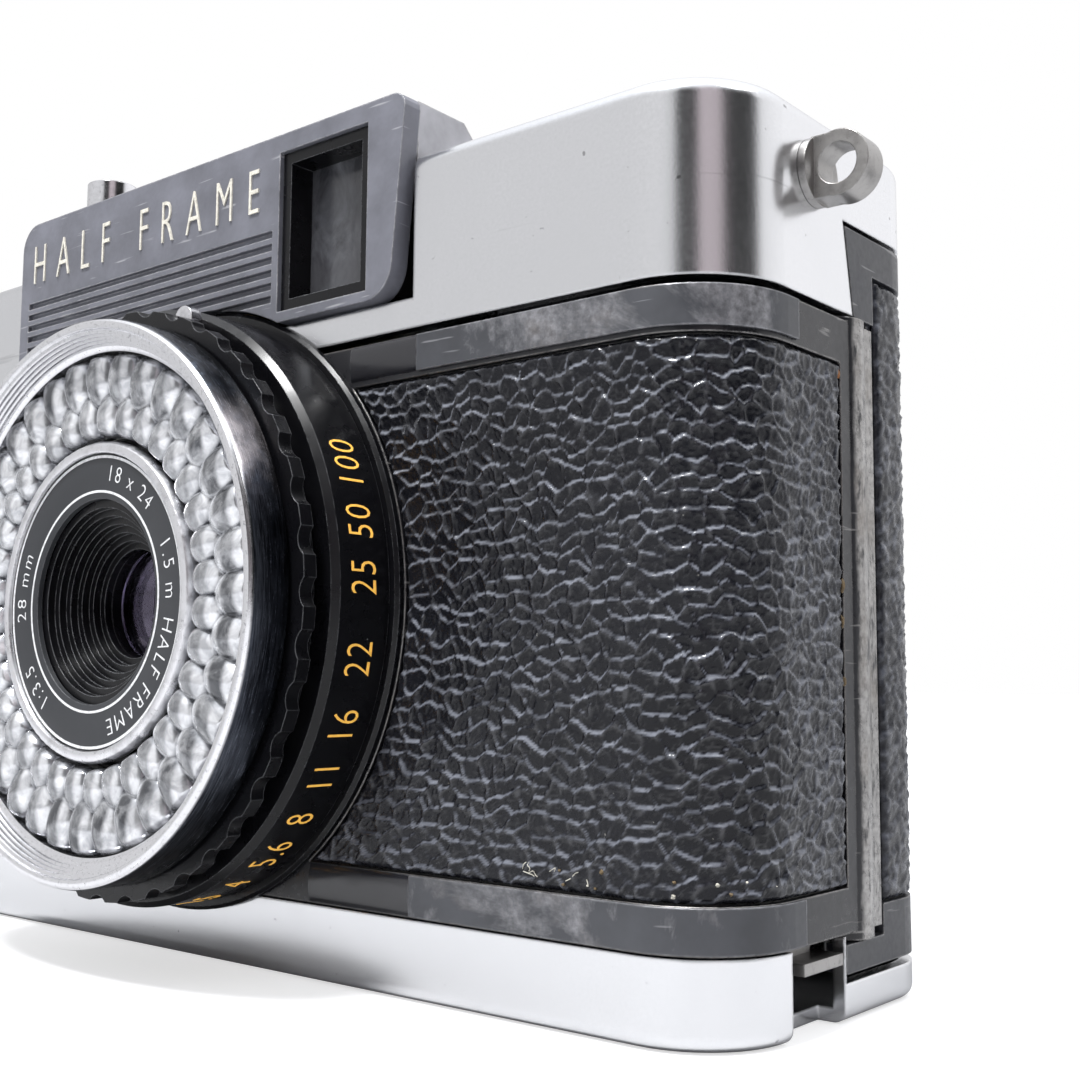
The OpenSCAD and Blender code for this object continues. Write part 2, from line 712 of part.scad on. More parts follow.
// Two bowed leaves on the inside of the door
leaf_r = 60;
module pressure_springs() color(chrome_grey)
  for (z = [-8, 8]) intersection() {
    translate([lens_x, rear_y - door_t - 0.05 - leaf_r, lens_z + z - 3]) ring(leaf_r - 0.3, leaf_r, 0, 6);
    block([lens_x - 12, 10, 0], [lens_x + 12, 14, 60]);
  }

// Tab in the bottom cover's notch, with a bar up inside the casting
module door_latch() color(chrome_grey) {
  block([half_w - 2.6, -6.2, 4.2], [half_w + 0.3, -0.8, 5]);
  block([half_w - 2.6, -5.2, 4.2], [half_w - 1.7, -1.8, 14]);
}

module light_seals() color([0.04, 0.04, 0.04]) {
  block([-28, casting_rear_y, 53], [30, casting_rear_y + 0.6, 55.5]);
  block([-28, casting_rear_y, 4], [30, casting_rear_y + 0.6, 6]);
}

// ---------------------------------------------------------------- base

module tripod_socket() color(chrome_grey) difference() {
  post(0, 0, 6, 0, 6);
  post(0, 0, socket_r, -1, 5);
}

module rewind_release_button() color(chrome_grey) {
  post(sprocket_x, sprocket_y, 2.4, 0.25, 5.6);
}

// ---------------------------------------------------------------- film transport

gear_z0 = 57.7;
gear_z1 = 59;
wheel_z0 = 59.3;
wheel_z1 = 62;

module advance_wheel() color(worn_black) translate([spool_x, spool_y, 0]) difference() {
  post(0, 0, wheel_r, wheel_z0, wheel_z1);
  for (i = [0 : wheel_notches - 1]) rotate(360 * i / wheel_notches)
    post(wheel_r + 0.2, 0, 0.5, wheel_z0 - 1, wheel_z1 + 1);
  post(0, 0, advance_shaft_r + 0.01, 50, 70);
  for (i = [0 : 5]) rotate(60 * i) post(8, 0, 2.6, 50, 70);
}

module advance_shaft() color(chrome_grey)
  post(spool_x, spool_y, advance_shaft_r, 6.8, wheel_z1);

module gear(n, bore_r) difference() {
  translate([0, 0, gear_z0]) linear_extrude(gear_z1 - gear_z0) polygon(gear_points(n));
  post(0, 0, bore_r, 50, 70);
}

module advance_gear() color(brass)
  translate([spool_x, spool_y, 0]) rotate(mesh_angle) gear(advance_teeth, advance_shaft_r + 0.01);

module sprocket_gear() color(brass)
  translate([sprocket_x, sprocket_y, 0])
    rotate(mesh_angle + 180 + 180 / sprocket_teeth_gear)
      gear(sprocket_teeth_gear, sprocket_shaft_r + 0.01);

module take_up_spool() color(gloss_black) translate([spool_x, spool_y, 0]) difference() {
  union() {
    post(0, 0, 5.5, 8.3, 50.7);
    post(0, 0, 11.5, 8.3, 9.3);
    post(0, 0, 7.5, 49.7, 50.7);
  }
  post(0, 0, advance_shaft_r + 0.06, 0, 60);
  for (i = [0 : 5]) rotate(60 * i) block([3.4, -0.5, 14], [8, 0.5, 45]);
}

// Drum with a ring of eight film teeth at each end
tooth_rows = [lens_z - 14.1, lens_z + 14.1];
module film_sprocket() color(chrome_grey) translate([sprocket_x, sprocket_y, 0]) {
  post(0, 0, sprocket_shaft_r, 8.2, gear_z1);
  post(0, 0, 4.6, tooth_rows[0] - 3, tooth_rows[1] + 3);
  for (z = tooth_rows) {
    post(0, 0, sprocket_r, z - 2.2, z + 2.2);
    for (i = [0 : 7]) rotate(45 * i) translate([sprocket_r - 0.2, 0, z]) rotate([0, 90, 0])
      cylinder(r1 = 0.9, r2 = 0.5, h = 1.1);
  }
}

module mechanism_plate() color(brass) difference() {
  translate([0, 0, frame_top + 0.1]) linear_extrude(0.8) intersection() {
    outline(2.2);
    translate([-55.2, -11.5]) square([34.7, 22.5]);
  }
  post(spool_x, spool_y, advance_shaft_r + 0.1, 50, 60);
  post(sprocket_x, sprocket_y, sprocket_shaft_r + 0.1, 50, 60);
}

module galvanometer() color(chrome_grey) {
  post(-5, 0, 6.5, waist_top + 0.05, 58.5);
  post(-5, 0, 1, 58, 59.5);
  block([-5.4, -8.5, 58.7], [-4.6, 0, 59]);
}

module film_gate() color(worn_black) difference() {
  union() {
    block([sprocket_x + 7.4, gate_floor_y + 0.05, 11.9], [cassette_x - chamber_r - 0.2, gate_face_y, 47.8]);
    for (side = [-1, 1]) {
      zo = lens_z + side * 17.1;
      zi = lens_z + side * 13.2;
      block([sprocket_x + 7.4, gate_face_y - 0.5, zo - 0.5], [cassette_x - chamber_r - 0.2, gate_face_y + 0.5, zo + 0.5]);
      block([lens_x - 16, gate_face_y - 0.5, zi - 0.5], [lens_x + 16, gate_face_y + 0.2, zi + 0.5]);
    }
  }
  block([lens_x - picture_w / 2, 0, lens_z - picture_h / 2], [lens_x + picture_w / 2, 20, lens_z + picture_h / 2]);
}

// ---------------------------------------------------------------- lens

barrel_r = 21.9;
barrel_end = barrel_reach - 3.55;
bezel_back = barrel_reach - 3.5;
seat_r = filter_r - 0.6;
ring_bore = barrel_r + run;
speed_front = bezel_back - 0.3;
speed_back = speed_front - 2.3;
aperture_front = speed_back - 0.1;
lens_screw_angles = [45, 135, 225, 315];
lens_screw_circle = 23.4;
pin_angle = 73;
pin_circle = 24.1;

module lens_barrel() color(gloss_black) on_lens() difference() {
  rotate_extrude() polygon([
    [20.2, 0.02], [number_ring_r + 0.8, 0.02], [number_ring_r + 0.8, 0.5],
    [number_ring_r + 0.5, 0.75], [barrel_r, 0.75], [barrel_r, barrel_end], [20.2, barrel_end]]);
  for (a = lens_screw_angles) rotate(a) translate([lens_screw_circle, 0, -1]) {
    cylinder(r = 0.75, h = 4);
    translate([0, 0, 1.25]) cylinder(r = 1.3, h = 3);
  }
}

module lens_screws() color(chrome_grey) on_lens()
  for (a = lens_screw_angles) rotate(a) translate([lens_screw_circle, 0, 0.72])
    screw(1.25, 0.42, 0.68, 5);

module film_speed_ring() color(gloss_black) on_lens() difference() {
  union() {
    ring(ring_bore, 24.3, speed_back + 1.1, speed_front);
    ring(ring_bore, 22.8, speed_back, speed_front);
  }
  for (i = [0 : scallops - 1]) rotate(360 * i / scallops)
    translate([25.25, 0, speed_back]) cylinder(r = 1.45, h = 6);
}

module aperture_ring() color(gloss_black) on_lens() difference() {
  rotate_extrude() polygon([
    [ring_bore, 0.8], [number_ring_r, 0.8], [number_ring_r, aperture_front - 0.5],
    [number_ring_r - 0.5, aperture_front], [ring_bore, aperture_front]]);
  rotate(pin_angle) translate([pin_circle, 0, 3]) cylinder(r = 0.52, h = 8);
}

module index_pin() color(chrome_grey) on_lens() rotate(pin_angle) translate([pin_circle, 0, 0]) {
  translate([0, 0, 4]) cylinder(r = 0.5, h = 2.6);
  translate([0, 0, aperture_front + 0.02]) cylinder(r = 1.15, h = 1);
}

// Polished ring with the filter thread in its mouth
module bezel_ring() color(chrome_grey) on_lens() rotate_extrude() polygon([
  [seat_r, bezel_back], [bezel_r - 0.3, bezel_back], [bezel_r, bezel_back + 0.3],
  [bezel_r, barrel_reach - 0.4], [bezel_r - 0.4, barrel_reach], [filter_r, barrel_reach],
  [filter_r, barrel_reach - 1.8], [seat_r, barrel_reach - 1.8]]);

module meter_window() color(clear) on_lens()
  ring(13.6, seat_r - gap, bezel_back, barrel_reach - 1.9);

module selenium_cell() color([0.45, 0.35, 0.20]) on_lens()
  ring(13.8, 20, 7.3, 7.9);

// Black funnel in front of the glass, on a tray that carries the meter cell
cone_steps = 6;
cone_front = 9.5;
cone_back = 5.3;
module front_cone() color(gloss_black) on_lens() difference() {
  union() {
    translate([0, 0, 6.6]) cylinder(r = 20.1, h = 0.6);
    translate([0, 0, cone_back]) cylinder(r = 9.2, h = cone_front - cone_back);
  }
  for (i = [0 : cone_steps - 1])
    translate([0, 0, cone_back - 0.01 + i * (cone_front - cone_back) / cone_steps])
      cylinder(r = 4.6 + i * (8.4 - 4.6) / cone_steps, h = 8);
}

module name_ring() color(gloss_black) on_lens() rotate_extrude() polygon([
  [8.4, 9.55], [13.3, 9.55], [13.3, 10.35], [12.1, 10.35], [11.8, 10.15], [9.1, 10.15], [8.4, 9.9]]);

module lens_cell() color(gloss_black) on_lens() {
  ring(4.7, 7.5, -2.2, 5.2);
  ring(3.6, 5, 0.2, 1.2);
}

// A plano-convex lens element: flat at the origin, domed towards +Z
module element(r, edge, bulge) {
  dome_r = (r * r + bulge * bulge) / (2 * bulge);
  rim = asin(r / dome_r);
  rotate_extrude() polygon(concat(
    [[0, 0], [r, 0]],
    [for (p = arc(0, edge + bulge - dome_r, dome_r, 90 - rim, 90, 12)) [max(0, p[0]), p[1]]]));
}

module front_element() color(clear) on_lens() translate([0, 0, 3.2]) element(4.65, 1.1, 0.8);
module rear_element() color(clear) on_lens() translate([0, 0, -0.8]) mirror([0, 0, 1])
  element(4.65, 0.7, 0.5);

blade_pivot = 12;
module shutter_plate() color(worn_black) on_lens() {
  ring(5.2, 19.7, -3.3, -2.3);
  for (side = [-1, 1]) translate([side * blade_pivot, 0, -4.9]) cylinder(r = 0.8, h = 2);
}

module shutter_blade(h0) translate([0, 0, h0]) linear_extrude(0.3) difference() {
  union() {
    circle(6.2);
    translate([0, -1.4]) square([blade_pivot, 2.8]);
    translate([blade_pivot, 0]) circle(2);
  }
  translate([blade_pivot, 0]) circle(0.8 + run);
}

module shutter_blade_a() color(chrome_grey) on_lens() shutter_blade(-3.8);
module shutter_blade_b() color(chrome_grey) on_lens() rotate(180) shutter_blade(-4.4);

// ---------------------------------------------------------------- nodes

body_casting();
front_leather();
trim_plates();
top_cover();
nameplate();
finder_hood();
finder_frame();
finder_front_glass();
finder_tube();
eyepiece_ring();
eyepiece_glass();
accessory_shoe();
shoe_contact();
case_screws();
counter_dial();
counter_window();
shutter_button();
button_collar();
release_spring();
rewind_knob();
rewind_crank();
crank_grip();
rewind_shaft();
rewind_collar();
strap_lugs();
back_door();
door_leather();
hinge_pin();
pressure_plate();
pressure_springs();
door_latch();
light_seals();
bottom_cover();
tripod_socket();
rewind_release_button();
advance_wheel();
advance_shaft();
advance_gear();
take_up_spool();
film_sprocket();
sprocket_gear();
mechanism_plate();
galvanometer();
film_gate();
lens_barrel();
lens_screws();
film_speed_ring();
aperture_ring();
index_pin();
bezel_ring();
meter_window();
selenium_cell();
front_cone();
name_ring();
lens_cell();
front_element();
rear_element();
shutter_plate();
shutter_blade_a();
shutter_blade_b();
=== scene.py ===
import json
import math

import bmesh
import bpy
import numpy as np
from mathutils import Matrix, Vector


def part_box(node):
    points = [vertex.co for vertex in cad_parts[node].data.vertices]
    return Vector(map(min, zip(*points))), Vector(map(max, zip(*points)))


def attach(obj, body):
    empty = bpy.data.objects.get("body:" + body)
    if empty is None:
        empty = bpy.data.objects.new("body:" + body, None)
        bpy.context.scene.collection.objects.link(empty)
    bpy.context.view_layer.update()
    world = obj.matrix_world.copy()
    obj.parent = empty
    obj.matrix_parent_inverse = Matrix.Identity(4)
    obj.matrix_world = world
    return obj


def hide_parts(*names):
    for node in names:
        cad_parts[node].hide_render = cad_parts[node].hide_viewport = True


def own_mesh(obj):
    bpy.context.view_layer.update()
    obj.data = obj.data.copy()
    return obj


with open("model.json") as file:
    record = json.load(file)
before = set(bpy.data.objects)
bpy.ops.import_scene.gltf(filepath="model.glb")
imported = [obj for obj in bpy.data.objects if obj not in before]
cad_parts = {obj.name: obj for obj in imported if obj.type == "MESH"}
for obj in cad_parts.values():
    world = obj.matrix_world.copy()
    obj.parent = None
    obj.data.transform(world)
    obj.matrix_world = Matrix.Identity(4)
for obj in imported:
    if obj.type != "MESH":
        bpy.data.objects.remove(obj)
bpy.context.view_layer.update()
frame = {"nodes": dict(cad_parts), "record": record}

MM = 0.001

# ------------------------------------------------------------------ places read from the frame


def span(node):
    """A CAD node's box in millimetres: lowest corner, highest corner."""
    low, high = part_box(node)
    return low / MM, high / MM


leather_lo, leather_hi = span("front_leather")
door_leather_lo, door_leather_hi = span("door_leather")
cover_lo, cover_hi = span("top_cover")
plate_lo, _ = span("nameplate")
ring_lo, ring_hi = span("aperture_ring")
bezel_lo, bezel_hi = span("bezel_ring")

HALF_W = cover_hi.x
FRONT_Y = cover_lo.y
REAR_Y = cover_hi.y
CORNER_FRONT = 7.5
CORNER_REAR = 5.0
WINDOW_INNER, WINDOW_OUTER, WINDOW_BACK = 13.62, 20.45, 9.05
BUBBLES = 36
LENS_X = (ring_lo.x + ring_hi.x) / 2
LENS_Z = (ring_lo.z + ring_hi.z) / 2
NUMBER_R = (ring_hi.x - ring_lo.x) / 2
BEZEL_R = (bezel_hi.x - bezel_lo.x) / 2



# ------------------------------------------------------------------ meshes

def new_piece(name, points, faces, material, body, replaces=None, slot=None, smooth_deg=40):
    """A mesh piece from points in millimetres, riding on a body."""
    mesh = bpy.data.meshes.new(name)
    mesh.from_pydata([tuple(p) for p in np.asarray(points) * MM], [], [tuple(f) for f in faces])
    mesh.validate()
    mesh.update()
    return finish_piece(name, mesh, material, body, replaces, smooth_deg)


def finish_piece(name, mesh, material, body, replaces=None, smooth_deg=40):
    bm = bmesh.new()
    bm.from_mesh(mesh)
    bmesh.ops.recalc_face_normals(bm, faces=bm.faces)
    bm.to_mesh(mesh)
    bm.free()
    mesh.polygons.foreach_set("use_smooth", [True] * len(mesh.polygons))
    mesh.set_sharp_from_angle(angle=math.radians(smooth_deg))
    mesh.materials.clear()
    mesh.materials.append(material)
    piece = bpy.data.objects.new(name, mesh)
    bpy.context.scene.collection.objects.link(piece)
    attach(piece, body)
    if replaces:
        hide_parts(*replaces)
    return piece


def on_lens(r, angle, h):
    """Points round the lens axis: radius, angle from +X towards +Z, and reach from the front plane."""
    return np.stack([LENS_X + r * np.cos(angle), FRONT_Y - h + 0 * angle, LENS_Z + r * np.sin(angle)], -1)


def grid_faces(rows, columns, wrap_rows=False, wrap_columns=False):
    r = np.arange(rows if wrap_rows else rows - 1)
    c = np.arange(columns if wrap_columns else columns - 1)
    i, j = np.meshgrid(r, c, indexing="ij")
    i2, j2 = (i + 1) % rows, (j + 1) % columns
    corners = [i * columns + j, i * columns + j2, i2 * columns + j2, i2 * columns + j]
    return np.stack(corners, -1).reshape(-1, 4)


def revolve(name, profile, material, body, segments=256, **options):
    """A closed ring on the lens axis from a closed (radius, reach) outline."""
    angle = np.linspace(0, 2 * np.pi, segments, endpoint=False)
    points = np.concatenate([on_lens(r, angle, h) for r, h in profile])
    faces = grid_faces(len(profile), segments, wrap_rows=True, wrap_columns=True)
    return new_piece(name, points, faces, material, body, **options)


# ------------------------------------------------------------------ patterns

def lattice_noise(x, y, seed):
    """Smooth value noise in 0..1 at unit scale."""
    rng = np.random.default_rng(seed)
    table = rng.random((256, 256))
    xi, yi = np.floor(x).astype(int), np.floor(y).astype(int)
    fx, fy = x - xi, y - yi
    fx, fy = fx * fx * (3 - 2 * fx), fy * fy * (3 - 2 * fy)

    def at(i, j):
        return table[i % 256, j % 256]
    top = at(xi, yi) * (1 - fx) + at(xi + 1, yi) * fx
    bottom = at(xi, yi + 1) * (1 - fx) + at(xi + 1, yi + 1) * fx
    return top * (1 - fy) + bottom * fy


def cells(x, y, size, seed, jitter=0.85):
    """Voronoi cells: distance to the nearest seed, gap to the next one, and that cell's own numbers."""
    rng = np.random.default_rng(seed)
    n = 512
    jit = (rng.random((n, n, 2)) - 0.5) * jitter
    traits = rng.random((n, n, 3))
    gx, gy = x / size, y / size
    ci, cj = np.floor(gx).astype(int), np.floor(gy).astype(int)
    best = np.full(x.shape, 9.0)
    second = np.full(x.shape, 9.0)
    trait = np.zeros(x.shape + (3,))
    offset = np.zeros(x.shape + (2,))
    for di in (-1, 0, 1):
        for dj in (-1, 0, 1):
            i, j = ci + di, cj + dj
            seed_x = i + 0.5 + jit[i % n, j % n, 0] + 0.5 * (j % 2)
            seed_y = j + 0.5 + jit[i % n, j % n, 1]
            dx, dy = gx - seed_x, gy - seed_y
            d = np.hypot(dx, dy)
            closer = d < best
            second = np.where(closer, best, np.minimum(second, d))
            best = np.where(closer, d, best)
            trait = np.where(closer[..., None], traits[i % n, j % n], trait)
            offset = np.where(closer[..., None], np.stack([dx, dy], -1), offset)
    return best, second - best, trait, offset


def smooth(value, low, high):
    t = np.clip((value - low) / (high - low), 0, 1)
    return t * t * (3 - 2 * t)


def pebble_grain(u, v, size, seed):
    """Height in millimetres and hollow 0..1 of a leatherette whose cells meet in raised, broken folds; the leather
    material paints the hollow as shade.
    """
    warp = 0.34 * size
    wu = u + warp * (lattice_noise(u / size * 0.9, v / size * 0.9, seed + 1) - 0.5) * 2
    wv = v + warp * (lattice_noise(u / size * 0.9 + 40, v / size * 0.9, seed + 2) - 0.5) * 2
    _, gap, trait, offset = cells(wu, wv * 1.22, size, seed, 0.72)
    _, small_gap, small_trait, _ = cells(wu + 7, wv * 1.5 + 3, size * 0.40, seed + 5, 0.95)
    fold = np.exp(-(gap / 0.20) ** 2)
    broken = smooth(lattice_noise(u * 1.9, v * 2.6, seed + 3), 0.22, 0.68)
    wrinkle = np.exp(-(small_gap / 0.22) ** 2)
    scale = offset[..., 1] * smooth(gap, 0.0, 0.16)
    fine = lattice_noise(u * 6, v * 6, seed + 9) - 0.5
    height = (0.115 * fold * (0.30 + 0.70 * broken) + 0.17 * scale
              + 0.045 * wrinkle * (0.3 + small_trait[..., 0])
              + 0.05 * (trait[..., 0] - 0.5) * smooth(gap, 0, 0.2) + 0.03 * fine + 0.085)
    raised = np.maximum(fold * (0.25 + 0.75 * broken) * smooth(offset[..., 1], -0.55, 0.15),
                        0.45 * wrinkle * broken)
    return height, 1 - np.clip(raised, 0, 1)


def body_path(points_mm, half_w, front, rear, corner_front, corner_rear):
    """Plan position and outward normal along the body's outline, by arc length from the middle of a side.

    The path starts at the front's middle line, runs round the +X front corner, along the +X side and
    round the +X rear corner to the rear's middle line.
    """
    s = np.asarray(points_mm, float)
    flat = half_w - corner_front
    arc_f = corner_front * math.pi / 2
    side = (rear - front) - corner_front - corner_rear
    arc_r = corner_rear * math.pi / 2
    x, y, nx, ny = (np.zeros_like(s) for _ in range(4))
    a = s <= flat
    x[a], y[a], nx[a], ny[a] = s[a], front, 0, -1
    b = (s > flat) & (s <= flat + arc_f)
    t = (s[b] - flat) / corner_front
    x[b] = flat + corner_front * np.sin(t)
    y[b] = front + corner_front * (1 - np.cos(t))
    nx[b], ny[b] = np.sin(t), -np.cos(t)
    c = (s > flat + arc_f) & (s <= flat + arc_f + side)
    x[c], y[c], nx[c], ny[c] = half_w, front + corner_front + (s[c] - flat - arc_f), 1, 0
    d = (s > flat + arc_f + side) & (s <= flat + arc_f + side + arc_r)
    t = (s[d] - flat - arc_f - side) / corner_rear
    x[d] = half_w - corner_rear * (1 - np.cos(t))
    y[d] = rear - corner_rear * (1 - np.sin(t))
    nx[d], ny[d] = np.cos(t), np.sin(t)
    e = s > flat + arc_f + side + arc_r
    x[e] = half_w - corner_rear - (s[e] - flat - arc_f - side - arc_r)
    y[e], nx[e], ny[e] = rear, 0, 1
    return x, y, nx, ny


PATH_FLAT = HALF_W - CORNER_FRONT
PATH_SIDE_START = PATH_FLAT + CORNER_FRONT * math.pi / 2
PATH_SIDE_END = PATH_SIDE_START + (REAR_Y - FRONT_Y) - CORNER_FRONT - CORNER_REAR
PATH_REAR = PATH_SIDE_END + CORNER_REAR * math.pi / 2
PATH_MIDDLE_REAR = PATH_REAR + HALF_W - CORNER_REAR


def leather_sheet(name, s_low, s_high, z_low, z_high, step, size, body, seed, thickness, side=1,
                  proud=0.0):
    """A closed pebbled sheet wrapped round the body. s_low and s_high give path lengths for each height."""
    rows = int(round((z_high - z_low) / step / 4)) * 4 + 1
    longest = max(abs(s_high(z) - s_low(z)) for z in np.linspace(z_low, z_high, 20))
    columns = int(round(longest / step / 4)) * 4 + 1
    z = np.linspace(z_low, z_high, rows)
    start = np.array([s_low(h) for h in z])
    end = np.array([s_high(h) for h in z])
    t = np.linspace(0, 1, columns)
    s = start[:, None] + (end - start)[:, None] * t[None, :]
    zz = np.repeat(z[:, None], columns, 1)
    height, crease = pebble_grain(s, zz, size, seed)
    from_ends = np.minimum(s - start[:, None], end[:, None] - s)
    from_edge = np.minimum(from_ends, np.minimum(zz - z_low, z_high - zz))
    roll = 1 - smooth(from_edge, -0.02, 0.55)
    outer = proud - 0.19 + height - roll * roll * 0.30
    border = from_edge < 1e-6
    outer = np.where(border, -thickness * 0.8, outer)

    def place(path, level, height_z):
        x, y, nx, ny = PATH(path.ravel())
        return np.stack([side * (x + nx * level.ravel()), y + ny * level.ravel(), height_z.ravel()], -1)

    front = place(s, outer, zz)
    coarse_s, coarse_z = s[::4, ::4], zz[::4, ::4]
    back = place(coarse_s, np.full(coarse_s.shape, -thickness), coarse_z)
    faces = [tuple(f) for f in grid_faces(rows, columns)]
    base = len(front)
    back_rows, back_columns = coarse_s.shape
    faces += [tuple(base + f[::-1]) for f in grid_faces(back_rows, back_columns)]
    index = np.arange(rows * columns).reshape(rows, columns)
    back_index = base + np.arange(back_rows * back_columns).reshape(back_rows, back_columns)
    for dense, sparse in ((index[0], back_index[0]), (index[-1], back_index[-1]),
                          (index[:, 0], back_index[:, 0]), (index[:, -1], back_index[:, -1])):
        for k in range(len(sparse) - 1):
            faces.append((sparse[k], *dense[4 * k:4 * k + 5], sparse[k + 1]))
    piece = new_piece(name, np.concatenate([front, back]), faces, LEATHER, body,
                      slot="leatherette", smooth_deg=180)
    attribute = piece.data.attributes.new("crease", "FLOAT", "POINT")
    values = np.zeros(len(piece.data.vertices), np.float32)
    # painted shade: the crease mask, raised at the rolled edges, darkens the creases and edges in the leather
    # material
    values[:base] = np.maximum(crease, roll * 0.9).ravel()
    attribute.data.foreach_set("value", values)
    # painted highlight: pale strokes where the folds face up, and along the ridges on the side
    facing_up = smooth(-np.gradient(height, z, axis=0), 0.10, 0.45)
    on_side = smooth(s, PATH_SIDE_START - 2, PATH_SIDE_START + 1)
    stroke = np.maximum(facing_up * (1 - 0.5 * roll), 0.8 * on_side * (1 - crease))
    values[:base] = np.clip(stroke, 0, 1).ravel()
    piece.data.attributes.new("stroke", "FLOAT", "POINT").data.foreach_set("value", values)
    return piece


def PATH(s):
    """The outline all the way round the back: past the rear's middle line it mirrors."""
    over = s > PATH_MIDDLE_REAR
    x, y, nx, ny = body_path(np.where(over, 2 * PATH_MIDDLE_REAR - s, s), HALF_W, FRONT_Y, REAR_Y,
                             CORNER_FRONT, CORNER_REAR)
    return np.where(over, -x, x), y, np.where(over, -nx, nx), ny


# ------------------------------------------------------------------ materials

class Shader:
    """Builds a node material, one call per node."""

    def __init__(self, name, **principled):
        self.material = bpy.data.materials.new(name)
        self.material.use_nodes = True
        self.tree = self.material.node_tree
        self.bsdf = self.tree.nodes["Principled BSDF"]
        self.coords = self.add("ShaderNodeTexCoord").outputs["Object"]
        for key, value in principled.items():
            self.set(self.bsdf, key, value)

    def add(self, kind, **inputs):
        node = self.tree.nodes.new(kind)
        for key, value in inputs.items():
            self.set(node, key, value)
        return node

    def set(self, node, key, value):
        if key.startswith("_"):
            setattr(node, key[1:], value)
            return
        socket = node.inputs[int(key[1:])] if key[0] == "i" and key[1:].isdigit() \
            else node.inputs[key.replace("_", " ")]
        if isinstance(value, bpy.types.NodeSocket):
            self.tree.links.new(value, socket)
        elif isinstance(value, tuple) and len(value) == 3 and socket.type == "RGBA":
            socket.default_value = (*value, 1)
        else:
            socket.default_value = value

    def noise(self, scale, detail=4, rough=0.55, stretch=None, distortion=0.0):
        vector = self.coords
        if stretch:
            vector = self.add("ShaderNodeMapping", Vector=self.coords, Scale=stretch).outputs[0]
        return self.add("ShaderNodeTexNoise", Vector=vector, Scale=scale, Detail=detail,
                        Roughness=rough, Distortion=distortion).outputs["Fac"]

    def place(self, axis):
        return self.add("ShaderNodeSeparateXYZ", Vector=self.coords).outputs[axis]

    def attribute(self, name):
        return self.add("ShaderNodeAttribute", _attribute_name=name).outputs["Fac"]

    def ramp(self, value, low, high, to_low=0.0, to_high=1.0):
        return self.add("ShaderNodeMapRange", Value=value, From_Min=low, From_Max=high,
                        To_Min=to_low, To_Max=to_high).outputs[0]

    def math(self, kind, a, b=0.0):
        return self.add("ShaderNodeMath", _operation=kind, i0=a, i1=b).outputs[0]

    def mix(self, factor, a, b):
        node = self.add("ShaderNodeMix", _data_type="RGBA", i0=factor)
        self.set(node, "i6", a)
        self.set(node, "i7", b)
        return node.outputs[2]

    def edge_wear(self, radius, low, high, breakup):
        """1 along sharp edges, broken up by a noise value."""
        bevel = self.add("ShaderNodeBevel", _samples=4, Radius=radius).outputs[0]
        normal = self.add("ShaderNodeNewGeometry").outputs["Normal"]
        dot = self.add("ShaderNodeVectorMath", _operation="DOT_PRODUCT", i0=bevel, i1=normal).outputs["Value"]
        sharp = self.math("SUBTRACT", 1.0, dot)
        return self.ramp(self.math("MULTIPLY", sharp, self.ramp(breakup, 0.35, 0.65, 0.3, 1.7)), low, high)

    def bump(self, height, strength, distance=0.1 * MM, edge=0.0):
        """Fine relief, over edges rounded by a small radius where one is given."""
        node = self.add("ShaderNodeBump", Strength=strength, Distance=distance, Height=height)
        if edge:
            self.set(node, "Normal", self.add("ShaderNodeBevel", _samples=4, Radius=edge).outputs[0])
        self.set(self.bsdf, "Normal", node.outputs[0])
        return node


def darker(color, factor):
    return tuple(min(1.0, c * factor) for c in color)


def satin_metal(name, tint=(0.79, 0.795, 0.81)):
    """Satin chrome: a fine blasted grain, hairline scratches, faint stains and small dark pits."""
    s = Shader(name, Metallic=1.0)
    grain = s.noise(4200, 3, 0.7)
    broad = s.noise(70, 4, 0.6)
    pits = s.ramp(s.noise(1300, 2, 0.4), 0.74, 0.80)
    scratch = s.ramp(s.noise(420, 2, 0.5, stretch=(0.12, 0.12, 3.0), distortion=0.15), 0.70, 0.76)
    color = s.mix(s.ramp(grain, 0.3, 0.7), darker(tint, 0.93), tint)
    color = s.mix(s.ramp(broad, 0.35, 0.7, 0.0, 0.6), color, darker(tint, 0.92))
    color = s.mix(s.math("MAXIMUM", pits, s.math("MULTIPLY", scratch, 0.35)), color, darker(tint, 0.5))
    s.set(s.bsdf, "Base Color", color)
    s.set(s.bsdf, "Roughness", s.ramp(s.math("ADD", s.math("MULTIPLY", grain, 0.5),
                                             s.math("MULTIPLY", broad, 0.5)), 0.3, 0.7, 0.17, 0.26))
    s.bump(s.math("SUBTRACT", grain, s.math("MULTIPLY", scratch, 0.4)), 0.22, 0.02 * MM, edge=0.30 * MM)
    return s.material


